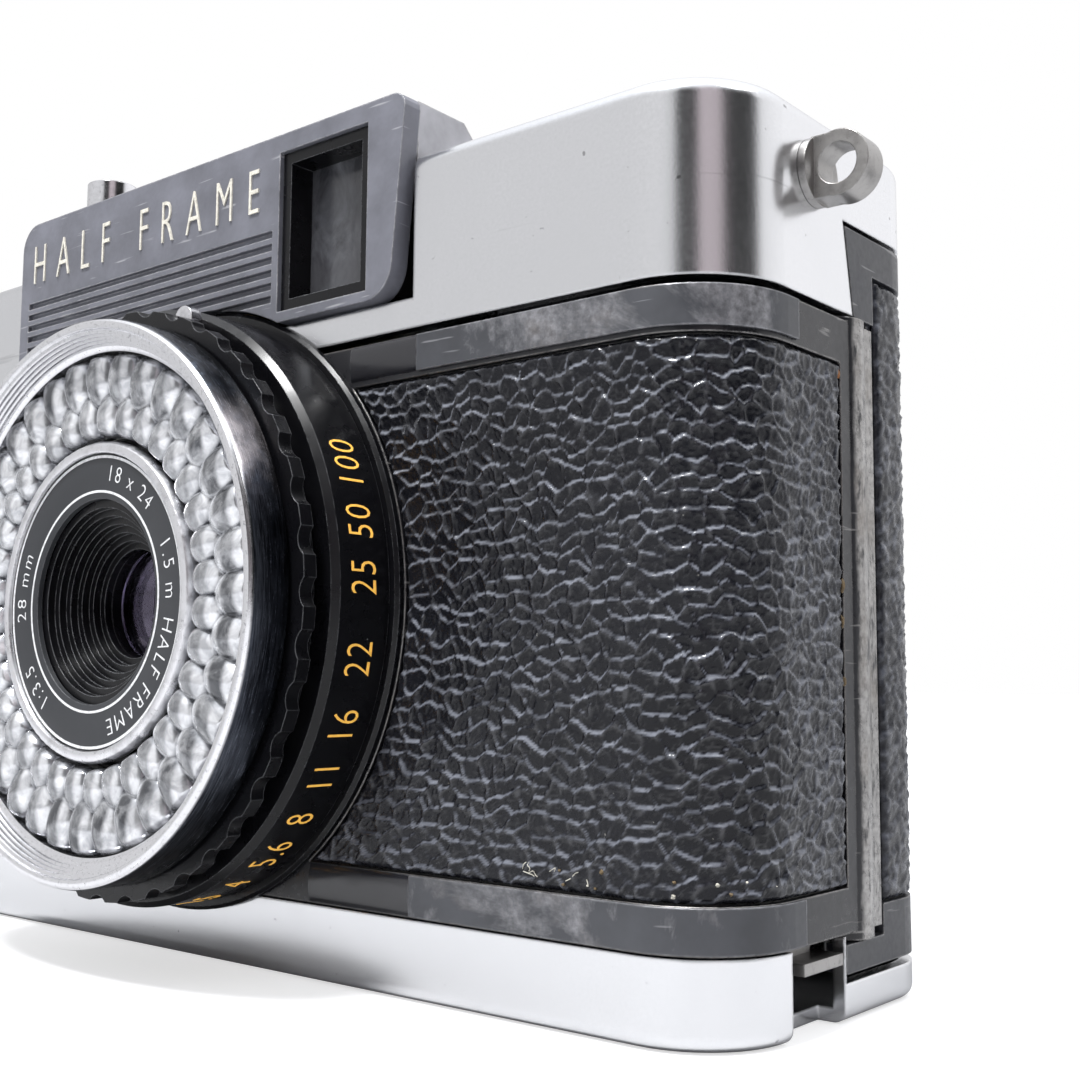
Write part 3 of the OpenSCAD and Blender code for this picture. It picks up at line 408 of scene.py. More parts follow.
def worn_paint(name, paint, metal, wear=(0.03, 0.16), patch=(0.66, 0.72), patch_scale=160, rough=0.42,
               crackle=0.0, more=None):
    """Enamel worn to metal along the edges and in patches. more(shader) may add another worn mask."""
    s = Shader(name)
    patches = s.ramp(s.noise(patch_scale, 7, 0.68, distortion=0.5), patch[0], patch[1])
    fine = s.noise(1900, 4, 0.6)
    broad = s.noise(210, 4, 0.6)
    edges = s.edge_wear(0.25 * MM, wear[0], wear[1], s.noise(800, 4, 0.7))
    bare = s.math("MAXIMUM", patches, edges)
    if more:
        bare = s.math("MAXIMUM", bare, more(s))
    scratch = s.ramp(s.noise(700, 2, 0.5, stretch=(0.2, 0.2, 2.6), distortion=0.2), 0.68, 0.73)
    paint_color = s.mix(s.ramp(broad, 0.35, 0.7), paint, darker(paint, 1.5))
    paint_color = s.mix(s.math("MULTIPLY", scratch, 0.5), paint_color, darker(metal, 0.8))
    metal_color = s.mix(s.ramp(fine, 0.35, 0.65), darker(metal, 0.5), metal)
    metal_color = s.mix(s.ramp(broad, 0.5, 0.75, 0.0, 0.5), metal_color, (0.16, 0.13, 0.10))
    s.set(s.bsdf, "Base Color", s.mix(bare, paint_color, metal_color))
    s.set(s.bsdf, "Metallic", s.math("MULTIPLY", bare, 0.85))
    s.set(s.bsdf, "Roughness", s.ramp(s.math("ADD", s.math("MULTIPLY", broad, 0.5),
                                             s.math("MULTIPLY", fine, 0.5)), 0.35, 0.65, rough - 0.08, rough + 0.12))
    relief = s.math("SUBTRACT", s.math("MULTIPLY", fine, 0.35), s.math("MULTIPLY", bare, 0.5))
    if crackle:
        skin = s.add("ShaderNodeTexVoronoi", Vector=s.coords, Scale=2300, Randomness=1.0,
                     _feature="SMOOTH_F1").outputs["Distance"]
        relief = s.math("ADD", relief, s.math("MULTIPLY", skin, crackle))
    s.bump(relief, 0.4, 0.03 * MM, edge=0.18 * MM)
    return s.material


def enamel(name, color=(0.0035, 0.0035, 0.0045), rough=0.24, chips_from=0.76, chip=(0.35, 0.36, 0.38),
           gloss=0.28):
    """Gloss enamel with tiny bright chips, soft smears and worn edges."""
    s = Shader(name)
    chips = s.ramp(s.noise(900, 3, 0.6), chips_from, chips_from + 0.03)
    edges = s.edge_wear(0.14 * MM, 0.05, 0.30, s.noise(1500, 3, 0.7))
    blotch_mask = s.noise(260, 4, 0.6)
    s.set(s.bsdf, "Base Color", s.mix(s.math("MAXIMUM", chips, s.math("MULTIPLY", edges, 0.5)), color, chip))
    s.set(s.bsdf, "Roughness", s.ramp(blotch_mask, 0.3, 0.7, rough - 0.06, rough + 0.12))
    s.set(s.bsdf, "Specular IOR Level", gloss)
    s.bump(s.noise(4000, 2), 0.06, 0.01 * MM, edge=0.10 * MM)
    return s.material


def polished(name, tint=(0.78, 0.78, 0.80), rough=0.10, grime=0.45):
    """Bright metal with hairline marks, a little tarnish and grime in patches."""
    s = Shader(name, Metallic=1.0)
    fine = s.noise(2600, 3, 0.7)
    tarnish = s.ramp(s.noise(620, 5, 0.6), 0.50, 0.80, 0.0, grime)
    color = s.mix(s.ramp(fine, 0.60, 0.75), tint, darker(tint, 0.6))
    s.set(s.bsdf, "Base Color", s.mix(tarnish, color, darker(tint, 0.35)))
    s.set(s.bsdf, "Roughness", s.ramp(s.noise(320, 4), 0.3, 0.7, rough, rough + 0.14))
    s.bump(fine, 0.08, 0.01 * MM, edge=0.14 * MM)
    return s.material


def plain_glass(name, tint=(0.95, 0.97, 1.0), ior=1.5, rough=0.0, coating=None):
    s = Shader(name, Roughness=rough, IOR=ior)
    s.set(s.bsdf, "Transmission Weight", 1.0)
    s.set(s.bsdf, "Base Color", s.mix(s.ramp(s.noise(900, 2), 0.4, 0.8), tint, darker(tint, 0.93)))
    if coating:
        s.set(s.bsdf, "Specular Tint", coating)
    s.bump(s.noise(1200, 2), 0.015, 0.01 * MM)
    return s.material


def finder_glass():
    """Old finder glass, opaque: its dark grey is painted shade of the finder's inside, lighter in soft noise
    blotches, with a cloudy roughness.
    """
    s = Shader("finder_glass", Roughness=0.12, IOR=1.5)
    cloud = s.noise(330, 5, 0.62, stretch=(1.0, 1.0, 0.55), distortion=0.4)
    low = s.noise(90, 2, 0.5)
    # painted shade: dark grey for the finder's inside, lighter in soft noise blotches
    color = s.mix(s.ramp(cloud, 0.40, 0.66), (0.020, 0.021, 0.025), (0.15, 0.155, 0.17))
    s.set(s.bsdf, "Base Color", s.mix(s.ramp(low, 0.42, 0.62), (0.05, 0.05, 0.055), color))
    s.set(s.bsdf, "Roughness", s.ramp(cloud, 0.3, 0.7, 0.08, 0.3))
    s.bump(cloud, 0.03, 0.02 * MM)
    return s.material


def leather():
    """Black leatherette: painted highlights where its folds face up and along its side ridges, painted shade in its
    creases and at its rolled edges, a soft sheen, dust and grey scuffs.
    """
    s = Shader("leather", IOR=1.5)
    crease = s.attribute("crease")
    broad = s.noise(60, 3, 0.5)
    fine = s.noise(2600, 3, 0.6)
    dust = s.ramp(s.noise(1700, 3, 0.55), 0.735, 0.77)
    scuff = s.math("MULTIPLY", s.ramp(s.noise(150, 5, 0.65), 0.55, 0.75, 0.0, 0.5),
                   s.math("SUBTRACT", 1.0, crease))
    color = s.mix(s.ramp(broad, 0.35, 0.65), (0.0045, 0.0048, 0.007), (0.008, 0.0085, 0.012))
    color = s.mix(scuff, color, (0.018, 0.019, 0.025))
    # painted shade: darker in the creases, lighter on the raised folds
    color = s.mix(s.ramp(crease, 0.75, 0.15, 0.0, 0.22), color, (0.040, 0.042, 0.052))
    uneven = s.ramp(s.noise(420, 3, 0.55), 0.35, 0.62, 0.25, 1.0)
    # painted highlight: pale strokes on the folds that face up and on the side ridges
    color = s.mix(s.math("MULTIPLY", s.attribute("stroke"), uneven), color, (0.16, 0.17, 0.20))
    color = s.mix(s.math("MULTIPLY", dust, 0.6), color, (0.34, 0.33, 0.30))
    s.set(s.bsdf, "Base Color", color)
    s.set(s.bsdf, "Roughness", s.ramp(s.math("ADD", s.math("MULTIPLY", fine, 0.6),
                                             s.math("MULTIPLY", broad, 0.4)), 0.35, 0.65, 0.20, 0.32))
    s.set(s.bsdf, "Specular IOR Level", s.ramp(crease, 0.2, 0.9, 0.75, 0.26))
    s.set(s.bsdf, "Sheen Weight", 0.015)
    s.bump(fine, 0.25, 0.03 * MM)
    return s.material


def bezel_metal():
    """Bright front lip; a side painted dark as a painted reflection, with fine turning marks, blue speckles on its
    upper part and a pale pinkish patch about 30 degrees above +X.
    """
    s = Shader("bezel_metal", Metallic=1.0)
    turning = s.noise(900, 3, 0.6, stretch=(0.5, 9.0, 0.5))
    fine = s.noise(2800, 3, 0.7)
    across = s.math("SUBTRACT", s.place(0), LENS_X * MM)
    above = s.math("SUBTRACT", s.place(2), LENS_Z * MM)
    squares = s.math("ADD", s.math("MULTIPLY", across, across), s.math("MULTIPLY", above, above))
    from_axis = s.math("SQRT", squares)
    front = s.ramp(from_axis, (BEZEL_R - 0.05) * MM, (BEZEL_R - 0.14) * MM)
    # painted reflection: the side is painted dark for the dark leather it mirrors, over turning marks
    side_reflection_color = s.mix(s.ramp(turning, 0.35, 0.65), (0.012, 0.014, 0.019), (0.075, 0.082, 0.10))
    speckle = s.math("MULTIPLY", s.ramp(s.noise(1500, 4, 0.7), 0.5, 0.62),
                     s.ramp(s.place(2), (LENS_Z + 4) * MM, (LENS_Z + 17) * MM))
    side_reflection_color = s.mix(s.math("MULTIPLY", speckle, 0.5), side_reflection_color, (0.16, 0.19, 0.25))
    # a pale pinkish patch about 30 degrees above +X
    around = s.math("ABSOLUTE", s.math("SUBTRACT", s.math("ARCTAN2", above, across), 0.52))
    blotch_mask = s.math("MULTIPLY", s.ramp(around, 0.05, 0.22, 1.0, 0.0), s.ramp(s.noise(260, 4, 0.6), 0.35, 0.6))
    side_reflection_color = s.mix(s.math("MULTIPLY", blotch_mask, 0.75), side_reflection_color, (0.50, 0.46, 0.47))
    lip = s.mix(s.ramp(fine, 0.55, 0.75), (0.82, 0.82, 0.84), (0.5, 0.5, 0.52))
    s.set(s.bsdf, "Base Color", s.mix(front, side_reflection_color, lip))
    turned = s.ramp(turning, 0.3, 0.7, 0.12, 0.26)
    s.set(s.bsdf, "Roughness", s.math("ADD", turned, s.ramp(fine, 0.3, 0.7, 0, 0.06)))
    s.bump(turning, 0.16, 0.02 * MM)
    return s.material


def bubble_plastic():
    """Silvery moulded bubbles with a dark crescent of painted shade on each crown and painted shade in the gaps
    between.
    """
    s = Shader("bubble_plastic", Metallic=0.7, IOR=1.49)
    streak = s.noise(700, 4, 0.6, distortion=0.8)
    clear = s.mix(s.ramp(streak, 0.35, 0.65), (0.50, 0.51, 0.53), (0.92, 0.93, 0.95))
    mottle = s.ramp(s.noise(520, 4, 0.6, distortion=0.5), 0.3, 0.6, 0.35, 1.0)
    # painted shade: the dark crescent on each crown
    broken = s.math("MULTIPLY", s.attribute("crescent"), mottle)
    clear = s.mix(s.math("MULTIPLY", broken, 0.92), clear, (0.035, 0.038, 0.045))
    # painted shade in the gaps between the bubbles
    gap = s.math("MULTIPLY", s.attribute("valley"), 0.88)
    s.set(s.bsdf, "Base Color", s.mix(gap, clear, (0.10, 0.105, 0.12)))
    s.set(s.bsdf, "Roughness", s.ramp(streak, 0.3, 0.7, 0.10, 0.24))
    s.set(s.bsdf, "Coat Weight", 0.2)
    s.set(s.bsdf, "Coat Roughness", 0.06)
    s.bump(streak, 0.10, 0.03 * MM)
    return s.material


def ink(name, color, rough=0.5, painted_glow=0.0):
    s = Shader(name)
    # painted glow: the emission makes the ink light itself, though it is no lamp
    s.set(s.bsdf, "Emission Color", color)
    s.set(s.bsdf, "Emission Strength", painted_glow)
    worn = s.noise(2200, 4, 0.65)
    s.set(s.bsdf, "Base Color", s.mix(s.ramp(worn, 0.40, 0.68), color, darker(color, 0.68)))
    s.set(s.bsdf, "Roughness", s.ramp(worn, 0.3, 0.7, rough - 0.1, rough + 0.1))
    s.bump(worn, 0.15, 0.02 * MM)
    return s.material


def glue(name, color):
    s = Shader(name, Roughness=0.65)
    lump = s.noise(900, 4, 0.7)
    s.set(s.bsdf, "Base Color", s.mix(s.ramp(lump, 0.35, 0.65), darker(color, 0.45), color))
    s.bump(lump, 0.5, 0.05 * MM)
    return s.material


def strip_metal(s):
    """Mask of the half-round strip by the door, rubbed through to metal on its outer side."""
    inside = s.math("MULTIPLY", s.ramp(s.place(0), 55.6 * MM, 56.0 * MM),
                    s.ramp(s.place(1), 0.8 * MM, 1.3 * MM))
    ragged = s.math("MULTIPLY", s.noise(420, 5, 0.7, stretch=(1, 1, 0.35)), 1.2 * MM)
    outer = s.ramp(s.math("ADD", s.place(1), ragged),
                   3.0 * MM, 3.4 * MM)
    rubbed = s.ramp(s.noise(1100, 4, 0.7, stretch=(1, 1, 0.3)), 0.34, 0.46)
    return s.math("MULTIPLY", s.math("MULTIPLY", inside, outer), rubbed)


LEATHER = leather()
MATERIALS = {
    "satin_cover": satin_metal("satin_cover"),
    "worn_casting": worn_paint("worn_casting", (0.006, 0.006, 0.008), (0.40, 0.39, 0.38), more=strip_metal,
                               rough=0.30),
    "plate_paint": worn_paint("plate_paint", (0.115, 0.118, 0.138), (0.60, 0.60, 0.62), wear=(0.05, 0.22),
                              patch=(0.76, 0.80), rough=0.46, crackle=0.9),
    "leatherette": LEATHER,
    "black_enamel": enamel("black_enamel"),
    "polished_ring": polished("polished_ring"),
    "steel": polished("steel", (0.36, 0.35, 0.34), 0.30, 0.75),
    "brass": polished("brass", (0.72, 0.55, 0.26), 0.25),
    "clear_plastic": plain_glass("clear_plastic"),
    "lens_glass": plain_glass("lens_glass", (0.9, 0.88, 1.0), coating=(0.75, 0.6, 1.0)),
    "cell": polished("cell", (0.86, 0.86, 0.85), 0.22, 0.15),
    "foam": enamel("foam", (0.01, 0.01, 0.01), 0.8, 0.95),
    "dial_white": enamel("dial_white", (0.8, 0.8, 0.78), 0.4, 0.95),
    "black_plastic": enamel("black_plastic", (0.02, 0.02, 0.02), 0.45, 0.85),
}
TRIM = worn_paint("trim_paint", (0.040, 0.042, 0.048), (0.36, 0.36, 0.38), wear=(0.04, 0.2),
                  patch=(0.54, 0.66), patch_scale=70, rough=0.42)
DOOR_PAINT = worn_paint("door_paint", (0.022, 0.023, 0.028), (0.36, 0.36, 0.36), wear=(0.05, 0.25),
                        patch=(0.74, 0.78), rough=0.38)
SPECIAL = {"trim_plates": TRIM, "back_door": DOOR_PAINT, "bezel_ring": bezel_metal(),
           "finder_front_glass": finder_glass(),
           # painted light: the hood has the plate's dark grey paint; this lighter grey stands for its lit top
           "finder_hood": worn_paint("hood_lit_paint", (0.30, 0.30, 0.32), (0.7, 0.7, 0.7),
                                     patch=(0.8, 0.85), rough=0.45)}
CREAM = ink("cream_ink", (0.76, 0.73, 0.64))
WHITE = ink("white_ink", (0.82, 0.83, 0.84))
# painted glow: the gold numbers emit light
GOLD = ink("gold_ink", (1.0, 0.55, 0.10), 0.42, painted_glow=0.35)

slots = {s["node"]: s["material_slot"] for s in frame["record"]["subparts"]}
for name, obj in frame["nodes"].items():
    obj.data.materials.clear()
    obj.data.materials.append(SPECIAL.get(name) or MATERIALS[slots[name]])


# ------------------------------------------------------------------ leather

DOOR_FROM_Y = door_leather_lo.y if door_leather_lo.y > 2 else 6.8


def path_at_y(y):
    """Path length at a place on the body's flat side."""
    return PATH_SIDE_START + (y - FRONT_Y - CORNER_FRONT)


hole_r = BEZEL_R + 2.95
front_end = path_at_y(leather_hi.y)


def lens_edge(side):
    return lambda z: side * LENS_X + math.sqrt(hole_r ** 2 - (z - LENS_Z) ** 2)


grid_step = 0.14
for piece_name, side, step, seed in (("leather_front_right", 1, grid_step, 11),
                                     ("leather_front_left", -1, grid_step * 1.5, 29)):
    piece = leather_sheet(piece_name, lens_edge(side), lambda z: front_end, leather_lo.z, leather_hi.z,
                          step, 1.45, "camera", seed, 0.56, side=side, proud=0.10)
    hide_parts("front_leather")
door_start = path_at_y(DOOR_FROM_Y + 0.02)
piece = leather_sheet("leather_door", lambda z: door_start, lambda z: 2 * PATH_MIDDLE_REAR - door_start,
                      door_leather_lo.z + 0.03, door_leather_hi.z - 0.03, 0.26, 1.35,
                      "door", 47, 0.45, proud=0.02)
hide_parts("door_leather")


# ------------------------------------------------------------------ lens pieces

SEG = 288


def meter_dome():
    """The light meter's window: two rings of moulded bubbles, half a pitch apart, the outer ones long."""
    rows, columns = ((60, 1440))
    r = np.linspace(WINDOW_INNER, WINDOW_OUTER, rows)
    angle = np.linspace(0, 2 * np.pi, columns, endpoint=False)
    rr, aa = np.meshgrid(r, angle, indexing="ij")
    pitch = 2 * np.pi / BUBBLES
    height, crescent = np.zeros(rr.shape), np.zeros(rr.shape)
    outer_ring, inner_ring = (18.65, 2.6, 1.86, 0.0, 1.0), (15.2, 1.95, 1.5, 0.5, 0.72)
    for centre, half_length, half_width, shift, lift in (outer_ring, inner_ring):
        k = np.round(aa / pitch - shift)
        off = (aa - (k + shift) * pitch) * rr
        d2 = (off / half_width) ** 2 + ((rr - centre) / half_length) ** 2
        rise = lift * np.clip(1 - d2, 0, 1)
        middle = (k + shift) * pitch
        aside = (centre * np.cos(middle) - rr * np.cos(aa)) / half_width
        # painted shade: a dark crescent on each bubble's crown
        dark = smooth(aside, -0.52, -0.22) * (1 - smooth(aside, 0.30, 0.75)) * smooth(rise, 0.10, 0.35) * lift
        crescent = np.where(rise > height, dark, crescent)
        height = np.maximum(height, rise)
    wobble = lattice_noise(aa * 14, rr * 0.9, 77) - 0.5
    # painted shade: the valleys between the bubbles are darkened
    valley = 1 - smooth(height, 0.02, 0.34)
    level = 10.05 + 1.15 * np.sqrt(np.clip(height, 0, 1)) * 0.55 + 0.5 * height + 0.05 * wobble
    edge = np.minimum(rr - WINDOW_INNER, WINDOW_OUTER - rr)
    level = level - 0.35 * (1 - smooth(edge, 0.0, 0.35))
    top = on_lens(rr.ravel(), aa.ravel(), level.ravel())
    back = np.concatenate([on_lens(radius, angle, WINDOW_BACK) for radius in (WINDOW_INNER, WINDOW_OUTER)])
    n = columns
    faces = [tuple(f) for f in grid_faces(rows, n, wrap_columns=True)]
    base = rows * n
    for k in range(n):
        k2 = (k + 1) % n
        faces.append((base + k, base + k2, k2, k))
        faces.append((base + n + k2, base + n + k, (rows - 1) * n + k, (rows - 1) * n + k2))
        faces.append((base + k2, base + k, base + n + k, base + n + k2))
    piece = new_piece("meter_bubbles", np.concatenate([top, back]), faces, bubble_plastic(), "camera",
                      replaces=["meter_window"], slot="clear_plastic", smooth_deg=75)
    shade = np.zeros(len(piece.data.vertices), np.float32)
    shade[:base] = valley.ravel()
    piece.data.attributes.new("valley", "FLOAT", "POINT").data.foreach_set("value", shade)
    shade[:base] = crescent.ravel()
    piece.data.attributes.new("crescent", "FLOAT", "POINT").data.foreach_set("value", shade)
    return piece


meter_dome()

# Name ring: knurled silver lip, white lines and a dark face
lip_angle = np.linspace(0, 2 * np.pi, SEG * 2, endpoint=False)
lip_wave = 0.010 * np.sin(lip_angle * 90) + 0.02 * (lattice_noise(lip_angle * 22, lip_angle * 0, 5) - 0.5)


def lip_ring():
    outline = [(12.15, 10.10), (12.25, 10.52), (12.55, 10.62), (13.0, 10.50), (13.22, 10.1), (13.22, 9.6),
               (12.15, 9.6)]
    points = []
    for k, (r, h) in enumerate(outline):
        wave = lip_wave * (1.0 if 1 <= k <= 4 else 0.0)
        points.append(on_lens(r + wave, lip_angle, h + wave * 0.4))
    faces = grid_faces(len(outline), len(lip_angle), wrap_rows=True, wrap_columns=True)
    new_piece("name_ring_lip", np.concatenate(points), faces, polished("lip_metal", (0.80, 0.80, 0.82), 0.24, 0.5),
              "camera", slot="polished_ring")


lip_ring()
FACE = enamel("face_paint", (0.036, 0.038, 0.042), 0.34, 0.80)
revolve("name_ring_face", [(8.45, 9.6), (8.45, 10.05), (8.9, 10.22), (12.1, 10.22), (12.1, 9.6)], FACE, "camera",
        segments=SEG, replaces=["name_ring"], slot="black_enamel")
for k, (r, w) in enumerate(((11.93, 0.11), (9.05, 0.10))):
    revolve(f"name_ring_line_{k}", [(r - w, 10.20), (r - w, 10.245), (r + w, 10.245), (r + w, 10.20)],
            WHITE, "camera",
            segments=SEG, slot="dial_white")

# Bezel: turned side painted dark as a painted reflection, thin bright lip, and a bright inner wall cut with thread
# turns
bezel_outline = [(BEZEL_R, 9.02), (BEZEL_R, 11.95), (BEZEL_R - 0.1, 12.25), (BEZEL_R - 0.3, 12.44),
                 (BEZEL_R - 0.55, 12.48),
                 (BEZEL_R - 0.85, 12.38)]
for k in range(5):
    bezel_outline += [(22.05 - 0.20 * k, 12.20 - 0.30 * k), (21.78 - 0.20 * k, 12.14 - 0.30 * k),
                      (21.92 - 0.20 * k, 12.02 - 0.30 * k)]
bezel_outline += [(20.85, 10.6), (20.62, 10.55), (20.62, 9.02)]
revolve("bezel_turned", bezel_outline, SPECIAL["bezel_ring"], "camera", segments=SEG, replaces=["bezel_ring"],
        slot="polished_ring", smooth_deg=28)

# Ridges of the cone in front of the lens
RIDGE = enamel("cone_ridges", (0.022, 0.021, 0.026), 0.17, 0.82)
for k in range(2, 6):
    r = 4.95 + 0.62 * k
    h = 5.75 + 0.62 * k
    revolve(f"cone_ridge_{k}",
            [(r - 0.10, h), (r + 0.02, h + 0.22), (r + 0.22, h + 0.20), (r + 0.34, h - 0.1), (r + 0.1, h - 0.3)],
            RIDGE, "camera", segments=SEG, slot="black_enamel")


# ------------------------------------------------------------------ lettering

def letter_mesh(text, height, depth, squeeze=1.0, spacing=1.0):
    """Points (across, up, out) in millimetres of raised lettering centred on its width, and its faces."""
    curve = bpy.data.curves.new("lettering", "FONT")
    curve.body = text
    curve.size = 1.0
    curve.space_character = spacing
    curve.extrude = 0.5
    curve.offset = -0.014
    curve.resolution_u = 3
    holder = bpy.data.objects.new("lettering", curve)
    bpy.context.scene.collection.objects.link(holder)
    bpy.context.view_layer.update()
    mesh = bpy.data.meshes.new_from_object(holder.evaluated_get(bpy.context.evaluated_depsgraph_get()))
    points = np.array([v.co[:] for v in mesh.vertices])
    faces = [tuple(p.vertices) for p in mesh.polygons]
    bpy.data.objects.remove(holder)
    bpy.data.curves.remove(curve)
    bpy.data.meshes.remove(mesh)
    scale = height / 0.7
    points[:, 0] = (points[:, 0] - (points[:, 0].min() + points[:, 0].max()) / 2) * scale * squeeze
    points[:, 1] *= scale
    points[:, 2] = (points[:, 2] + 0.5) * depth
    return points, faces


def weld_piece(name, points, faces, material, body):
    mesh = bpy.data.meshes.new(name)
    mesh.from_pydata([tuple(p) for p in points * MM], [], faces)
    bm = bmesh.new()
    bm.from_mesh(mesh)
    bmesh.ops.remove_doubles(bm, verts=bm.verts, dist=0.002 * MM)
    bm.to_mesh(mesh)
    bm.free()
    return finish_piece(name, mesh, material, body, smooth_deg=30)


def plate_lettering(text, x_low, x_high, z_low, z_high):
    points, faces = letter_mesh(text, z_high - z_low, 0.16, spacing=2.0)
    width = points[:, 0].max() - points[:, 0].min()
    points[:, 0] *= (x_high - x_low) / width
    placed = np.stack([(x_low + x_high) / 2 + points[:, 0], plate_lo.y - points[:, 2] + 0.03,
                       z_low + points[:, 1]], -1)
    weld_piece("plate_lettering", placed, faces, CREAM, "camera")


plate_lettering("HALF FRAME", plate_lo.x + 2.4, plate_lo.x + 37.6, 63.2, 67.3)


def side_number(label, angle_deg, text, height=2.6, base=2.2):
    """A number on the aperture ring's side, its top towards the front, read upwards."""
    points, faces = letter_mesh(text, height, 0.05, squeeze=0.72, spacing=1.12)
    angle = math.radians(angle_deg) + points[:, 0] / NUMBER_R
    placed = on_lens(NUMBER_R - 0.02 + points[:, 2], angle, base + points[:, 1])
    weld_piece(f"ring_number_{label}", placed, faces, GOLD, "number_ring")


for label, angle, text in (("22", -11, "22"), ("16", -22.5, "16"), ("11", -33, "11"), ("8", -42.5, "8"),
                           ("5_6", -52.5, "5.6"), ("4", -64, "4"), ("3_5", -75, "3.5")):
    side_number(label, angle, text)
for k, (text, angle) in enumerate((("25", 3), ("50", 13), ("100", 24.5))):
    side_number(f"speed_{k}", angle, text)


def face_lettering(label, text, angle_deg, height=1.35):
    """White lettering on the name ring's face, its feet towards the middle."""
    points, faces = letter_mesh(text, height, 0.03, squeeze=0.95, spacing=1.25)
    r = 9.95 + points[:, 1]
    angle = math.radians(angle_deg) - points[:, 0] / 10.6
    weld_piece(f"face_lettering_{label}", on_lens(r, angle, 10.21 + points[:, 2]), faces, WHITE,
               "camera")


for label, text, angle in (("focal", "28 mm", 172), ("speed", "1:3.5", 222), ("size", "18 x 24", 62),
                           ("range", "1.5 m", 12), ("kind", "HALF FRAME", 318)):
    face_lettering(label, text, angle)


# ------------------------------------------------------------------ release spring

def release_coil():
    """The shutter button's coil, one fixed mesh; in the camera it shortens as the button goes down."""
    low, high = span("release_spring")
    wire = 0.3
    centre_x, centre_y = (low.x + high.x) / 2, (low.y + high.y) / 2
    coil_r = (high.x - low.x) / 2 - wire
    turns, per_turn, around = 6, 28, 10
    t = np.linspace(0, 1, turns * per_turn + 1)
    turn = 2 * np.pi * turns * t
    rise = low.z + wire + (high.z - low.z - 2 * wire) * t
    angle = np.linspace(0, 2 * np.pi, around, endpoint=False)
    r = coil_r + wire * np.cos(angle)[None, :]
    points = np.stack([centre_x + r * np.cos(turn)[:, None], centre_y + r * np.sin(turn)[:, None],
                       rise[:, None] + wire * np.sin(angle)[None, :]], -1)
    faces = [tuple(f) for f in grid_faces(len(t), around, wrap_columns=True)]
    faces += [tuple(range(around)), tuple(range((len(t) - 1) * around, len(t) * around))[::-1]]
    piece = new_piece("release_coil", points.reshape(-1, 3), faces, MATERIALS["steel"], "camera",
                      replaces=["release_spring"], slot="steel", smooth_deg=60)
    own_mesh(piece)


release_coil()


# ------------------------------------------------------------------ gloss bands above and below the leather

def gloss_band(name, side, z_low, z_high, x_from, x_to):
    """A long, shallow rounded moulding of the casting, on the front between the lens and a trim plate."""
    across, along = 17, 49
    t = np.linspace(0, 1, across)
    x = np.linspace(x_from, x_to, along)
    bulge = 0.24 * np.sqrt(np.clip(1 - (2 * t - 1) ** 2, 0, 1)) + 0.01
    dent = 0.012 * lattice_noise(x * 0.5, x * 0 + z_low, 8)
    front = np.stack([np.repeat(side * x[:, None], across, 1), FRONT_Y - (bulge[None, :] - dent[:, None]),
                      np.repeat((z_low + (z_high - z_low) * t)[None, :], along, 0)], -1).reshape(-1, 3)
    back = front.copy()
    back[:, 1] = FRONT_Y + 0.3
    count = len(front)
    quads = grid_faces(along, across)
    faces = [tuple(f) for f in quads] + [tuple(count + f[::-1]) for f in quads]
    index = np.arange(count).reshape(along, across)
    for rim in (index[0], index[-1], index[:, 0], index[:, -1]):
        faces += [(a, b, count + b, count + a) for a, b in zip(rim[:-1], rim[1:])]
    new_piece(name, np.concatenate([front, back]), faces, BAND_PAINT, "camera",
              slot="worn_casting", smooth_deg=50)


BAND_PAINT = enamel("band_paint", (0.014, 0.014, 0.017), 0.16, 0.72, gloss=0.7)
TRIM_FROM_X = 32.85
for tag, z_low, z_high in (("low", 6.15, leather_lo.z - 0.15), ("high", leather_hi.z + 0.5, 49.95)):
    for tag_side, side in (("right", 1), ("left", -1)):
        nearest = min(abs(z_low - LENS_Z), abs(z_high - LENS_Z))
        inner = side * LENS_X + math.sqrt(max(0.0, (hole_r + 0.1) ** 2 - nearest ** 2))
        gloss_band(f"band_{tag}_{tag_side}", side, z_low, z_high, inner, TRIM_FROM_X)


# ------------------------------------------------------------------ glue, crumbs and lint

GLUE_BROWN = glue("glue_brown", (0.16, 0.11, 0.05))
GLUE_RUST = glue("glue_rust", (0.34, 0.13, 0.03))
LINT = glue("lint", (0.62, 0.60, 0.52))


def crumb(name, x, y, z, size, material, seed, stretch=(1, 1, 1)):
    """A lumpy grain of dry glue."""
    rng = np.random.default_rng(seed)
    mesh = bpy.data.meshes.new(name)
    bm = bmesh.new()
    bmesh.ops.create_icosphere(bm, subdivisions=3, radius=1.0)
    lobes = rng.normal(size=(7, 3))
    for v in bm.verts:
        lump = sum(math.sin(3.1 * v.co.dot(Vector(lobe)) + k) for k, lobe in enumerate(lobes)) / 7
        v.co = v.co * (1 + 0.55 * lump)
        v.co = Vector((x + v.co.x * size * stretch[0], y + v.co.y * size * stretch[1],
                       z + v.co.z * size * stretch[2])) * MM
    bm.to_mesh(mesh)
    bm.free()
    finish_piece(name, mesh, material, "camera", smooth_deg=60)


